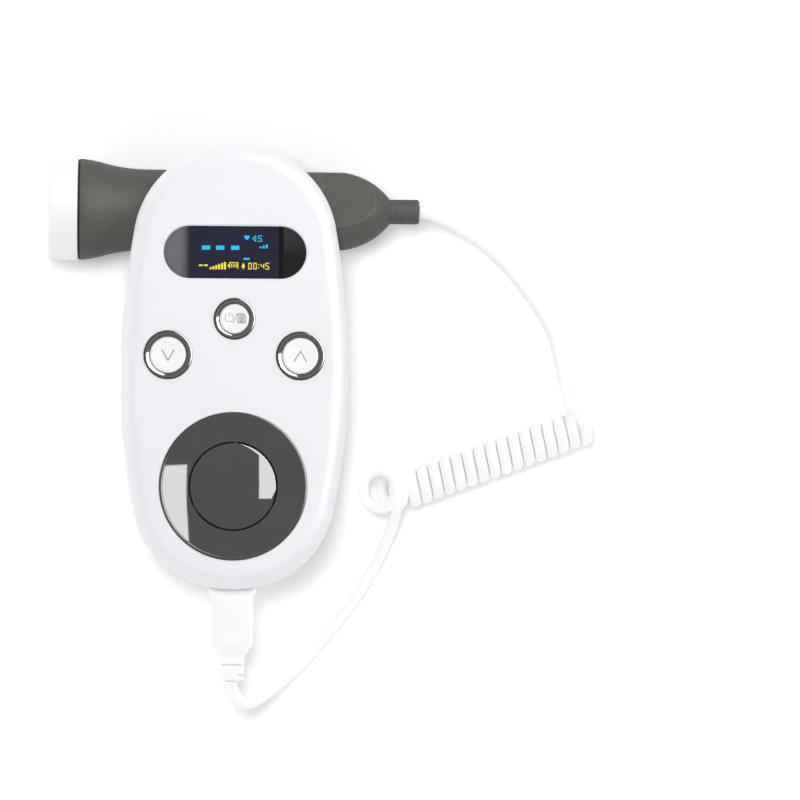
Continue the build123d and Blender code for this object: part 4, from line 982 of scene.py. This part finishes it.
class DOPPLER_OT_display(bpy.types.Operator):
    """Light the display's rows: rate dashes, heart, volume, and the lowest row"""

    bl_idname = "doppler.display"
    bl_label = "Display"

    def execute(self, context):
        cyan = [box_shape(x, 39.94, 2.55, 1.28) for x in (-10.2, -5.86, -1.29)]
        cyan += [box_shape(2.6, 36.92, 1.9, 0.6)]
        cyan += [box_shape(7.5 + 0.95 * n, 40.5, 0.6, 0.5 + 0.35 * n) for n in range(3)]
        cyan.append(self.heart(3.57, 43.65, 1.7, 1.57))
        cyan.append([(5.15, 43.45), (6.15, 44.4), (6.15, 44.05), (5.55, 43.45)])
        cyan.append([(5.15, 43.45), (5.55, 43.45), (6.15, 42.85), (6.15, 42.5)])
        cyan.append(box_shape(6.15, 42.5, 0.26, 1.9))
        cyan += digit_shapes("5", 6.95, 42.5, 1.3, 1.95, 0.28)
        self.rows("display_rates", cyan, "lit_cyan")
        yellow = [box_shape(-11.1, 34.9, 1.15, 0.5), box_shape(-9.55, 34.9, 1.2, 0.5)]
        for n in range(6):
            yellow.append(box_shape(-7.8 + 0.88 * n, 33.95, 0.62, 0.6 + 0.33 * n))
        yellow += [box_shape(-2.15, 34.7, 0.35, 0.8), box_shape(-1.8, 34.05, 2.8, 0.26)]
        yellow += [box_shape(-1.8, 35.9, 2.8, 0.26), box_shape(-1.8, 34.3, 0.26, 1.6)]
        yellow += [box_shape(0.74, 34.3, 0.26, 1.6)]
        yellow += [box_shape(-1.2 + 0.7 * n, 34.6, 0.34, 1.0) for n in range(3)]
        for number, x in zip("0045", (4.05, 5.6, 7.85, 9.35)):
            yellow += digit_shapes(number, x, 34.0, 1.12, 2.05, 0.28)
        yellow += [box_shape(7.13, 34.4, 0.3, 0.3), box_shape(7.13, 35.3, 0.3, 0.3)]
        yellow.append([(2.0, 35.0), (2.55, 33.95), (3.1, 35.0), (2.55, 36.05)])
        self.rows("display_status", yellow, "lit_yellow")
        return {"FINISHED"}

    def heart(self, x, y, width, height):
        """Outline of a heart about a centre."""
        points = []
        for n in range(24):
            t = 2 * pi * n / 24
            u = 16 * sin(t) ** 3 / 32
            v = (13 * cos(t) - 5 * cos(2 * t) - 2 * cos(3 * t) - cos(4 * t) + 2.5) / 29
            points.append((x + u * width, y + v * height))
        return points

    def rows(self, name, shapes, lit_slot):
        """Lay filled shapes on the display's glass."""
        piece = outlines(name, shapes, closed=True)
        for vertex in piece.data.vertices:
            vertex.co.z += (DISPLAY_Z + 0.03) * MM
        settle(piece, name, "main_unit", "panel_glass", finish_slot=lit_slot)


class DOPPLER_OT_probe(bpy.types.Operator):
    """Finish the probe's handle, head, seal and strain relief"""

    bl_idname = "doppler.probe"
    bl_label = "Probe"

    def execute(self, context):
        skin("probe_handle_upper", "handle_upper_skin", "probe", "probe_grey")
        skin("probe_handle_lower", "handle_lower_skin", "probe", "probe_grey")
        skin("probe_head_cap", "head_cap_skin", "probe", "head_white")
        skin("probe_seal_ring", "seal_ring_skin", "probe", "relief_rubber", "seal_rubber")
        skin("probe_strain_relief", "strain_relief_skin", "probe", "relief_rubber")
        return {"FINISHED"}


class DOPPLER_OT_plug(bpy.types.Operator):
    """Finish the plug's grip and strain relief"""

    bl_idname = "doppler.plug"
    bl_label = "Plug"

    def execute(self, context):
        skin("plug_overmould", "plug_grip_skin", "plug", "plug_white")
        skin("plug_strain_relief", "plug_relief_skin", "plug", "plug_white")
        return {"FINISHED"}


class DOPPLER_OT_inside(bpy.types.Operator):
    """Paint the pieces that keep their own shape"""

    bl_idname = "doppler.inside"
    bl_label = "Inner pieces"

    def execute(self, context):
        slots = {s["node"]: s["material_slot"] for s in frame["record"]["subparts"]}
        for node, obj in frame["nodes"].items():
            obj.data.materials.clear()
            obj.data.materials.append(finish(slots[node]))
        return {"FINISHED"}


PIECES = [
    DOPPLER_OT_stage,
    DOPPLER_OT_plug,
    DOPPLER_OT_cord,
    DOPPLER_OT_inside,
    DOPPLER_OT_case,
    DOPPLER_OT_bezels,
    DOPPLER_OT_buttons,
    DOPPLER_OT_speaker,
    DOPPLER_OT_display,
    DOPPLER_OT_probe,
]


class DOPPLER_PT_pieces(bpy.types.Panel):
    """The doppler's pieces, sizes and colours"""

    bl_idname = "DOPPLER_PT_pieces"
    bl_label = "Doppler"
    bl_space_type = "VIEW_3D"
    bl_region_type = "UI"
    bl_category = "Doppler"

    def draw(self, context):
        for piece in PIECES:
            self.layout.operator(piece.bl_idname)
        for group in (context.scene.doppler_sizes, context.scene.doppler_colours):
            for name in group.__annotations__:
                self.layout.prop(group, name)


CLASSES = [DopplerSizes, DopplerColours, *PIECES, DOPPLER_PT_pieces]


def register():
    for cls in CLASSES:
        bpy.utils.register_class(cls)
    bpy.types.Scene.doppler_sizes = PointerProperty(type=DopplerSizes)
    bpy.types.Scene.doppler_colours = PointerProperty(type=DopplerColours)


def unregister():
    del bpy.types.Scene.doppler_colours
    del bpy.types.Scene.doppler_sizes
    for cls in reversed(CLASSES):
        bpy.utils.unregister_class(cls)


def main():
    register()
    for piece in PIECES:
        family, name = piece.bl_idname.split(".")
        getattr(getattr(bpy.ops, family), name)()


if __name__ == "__main__":
    main()
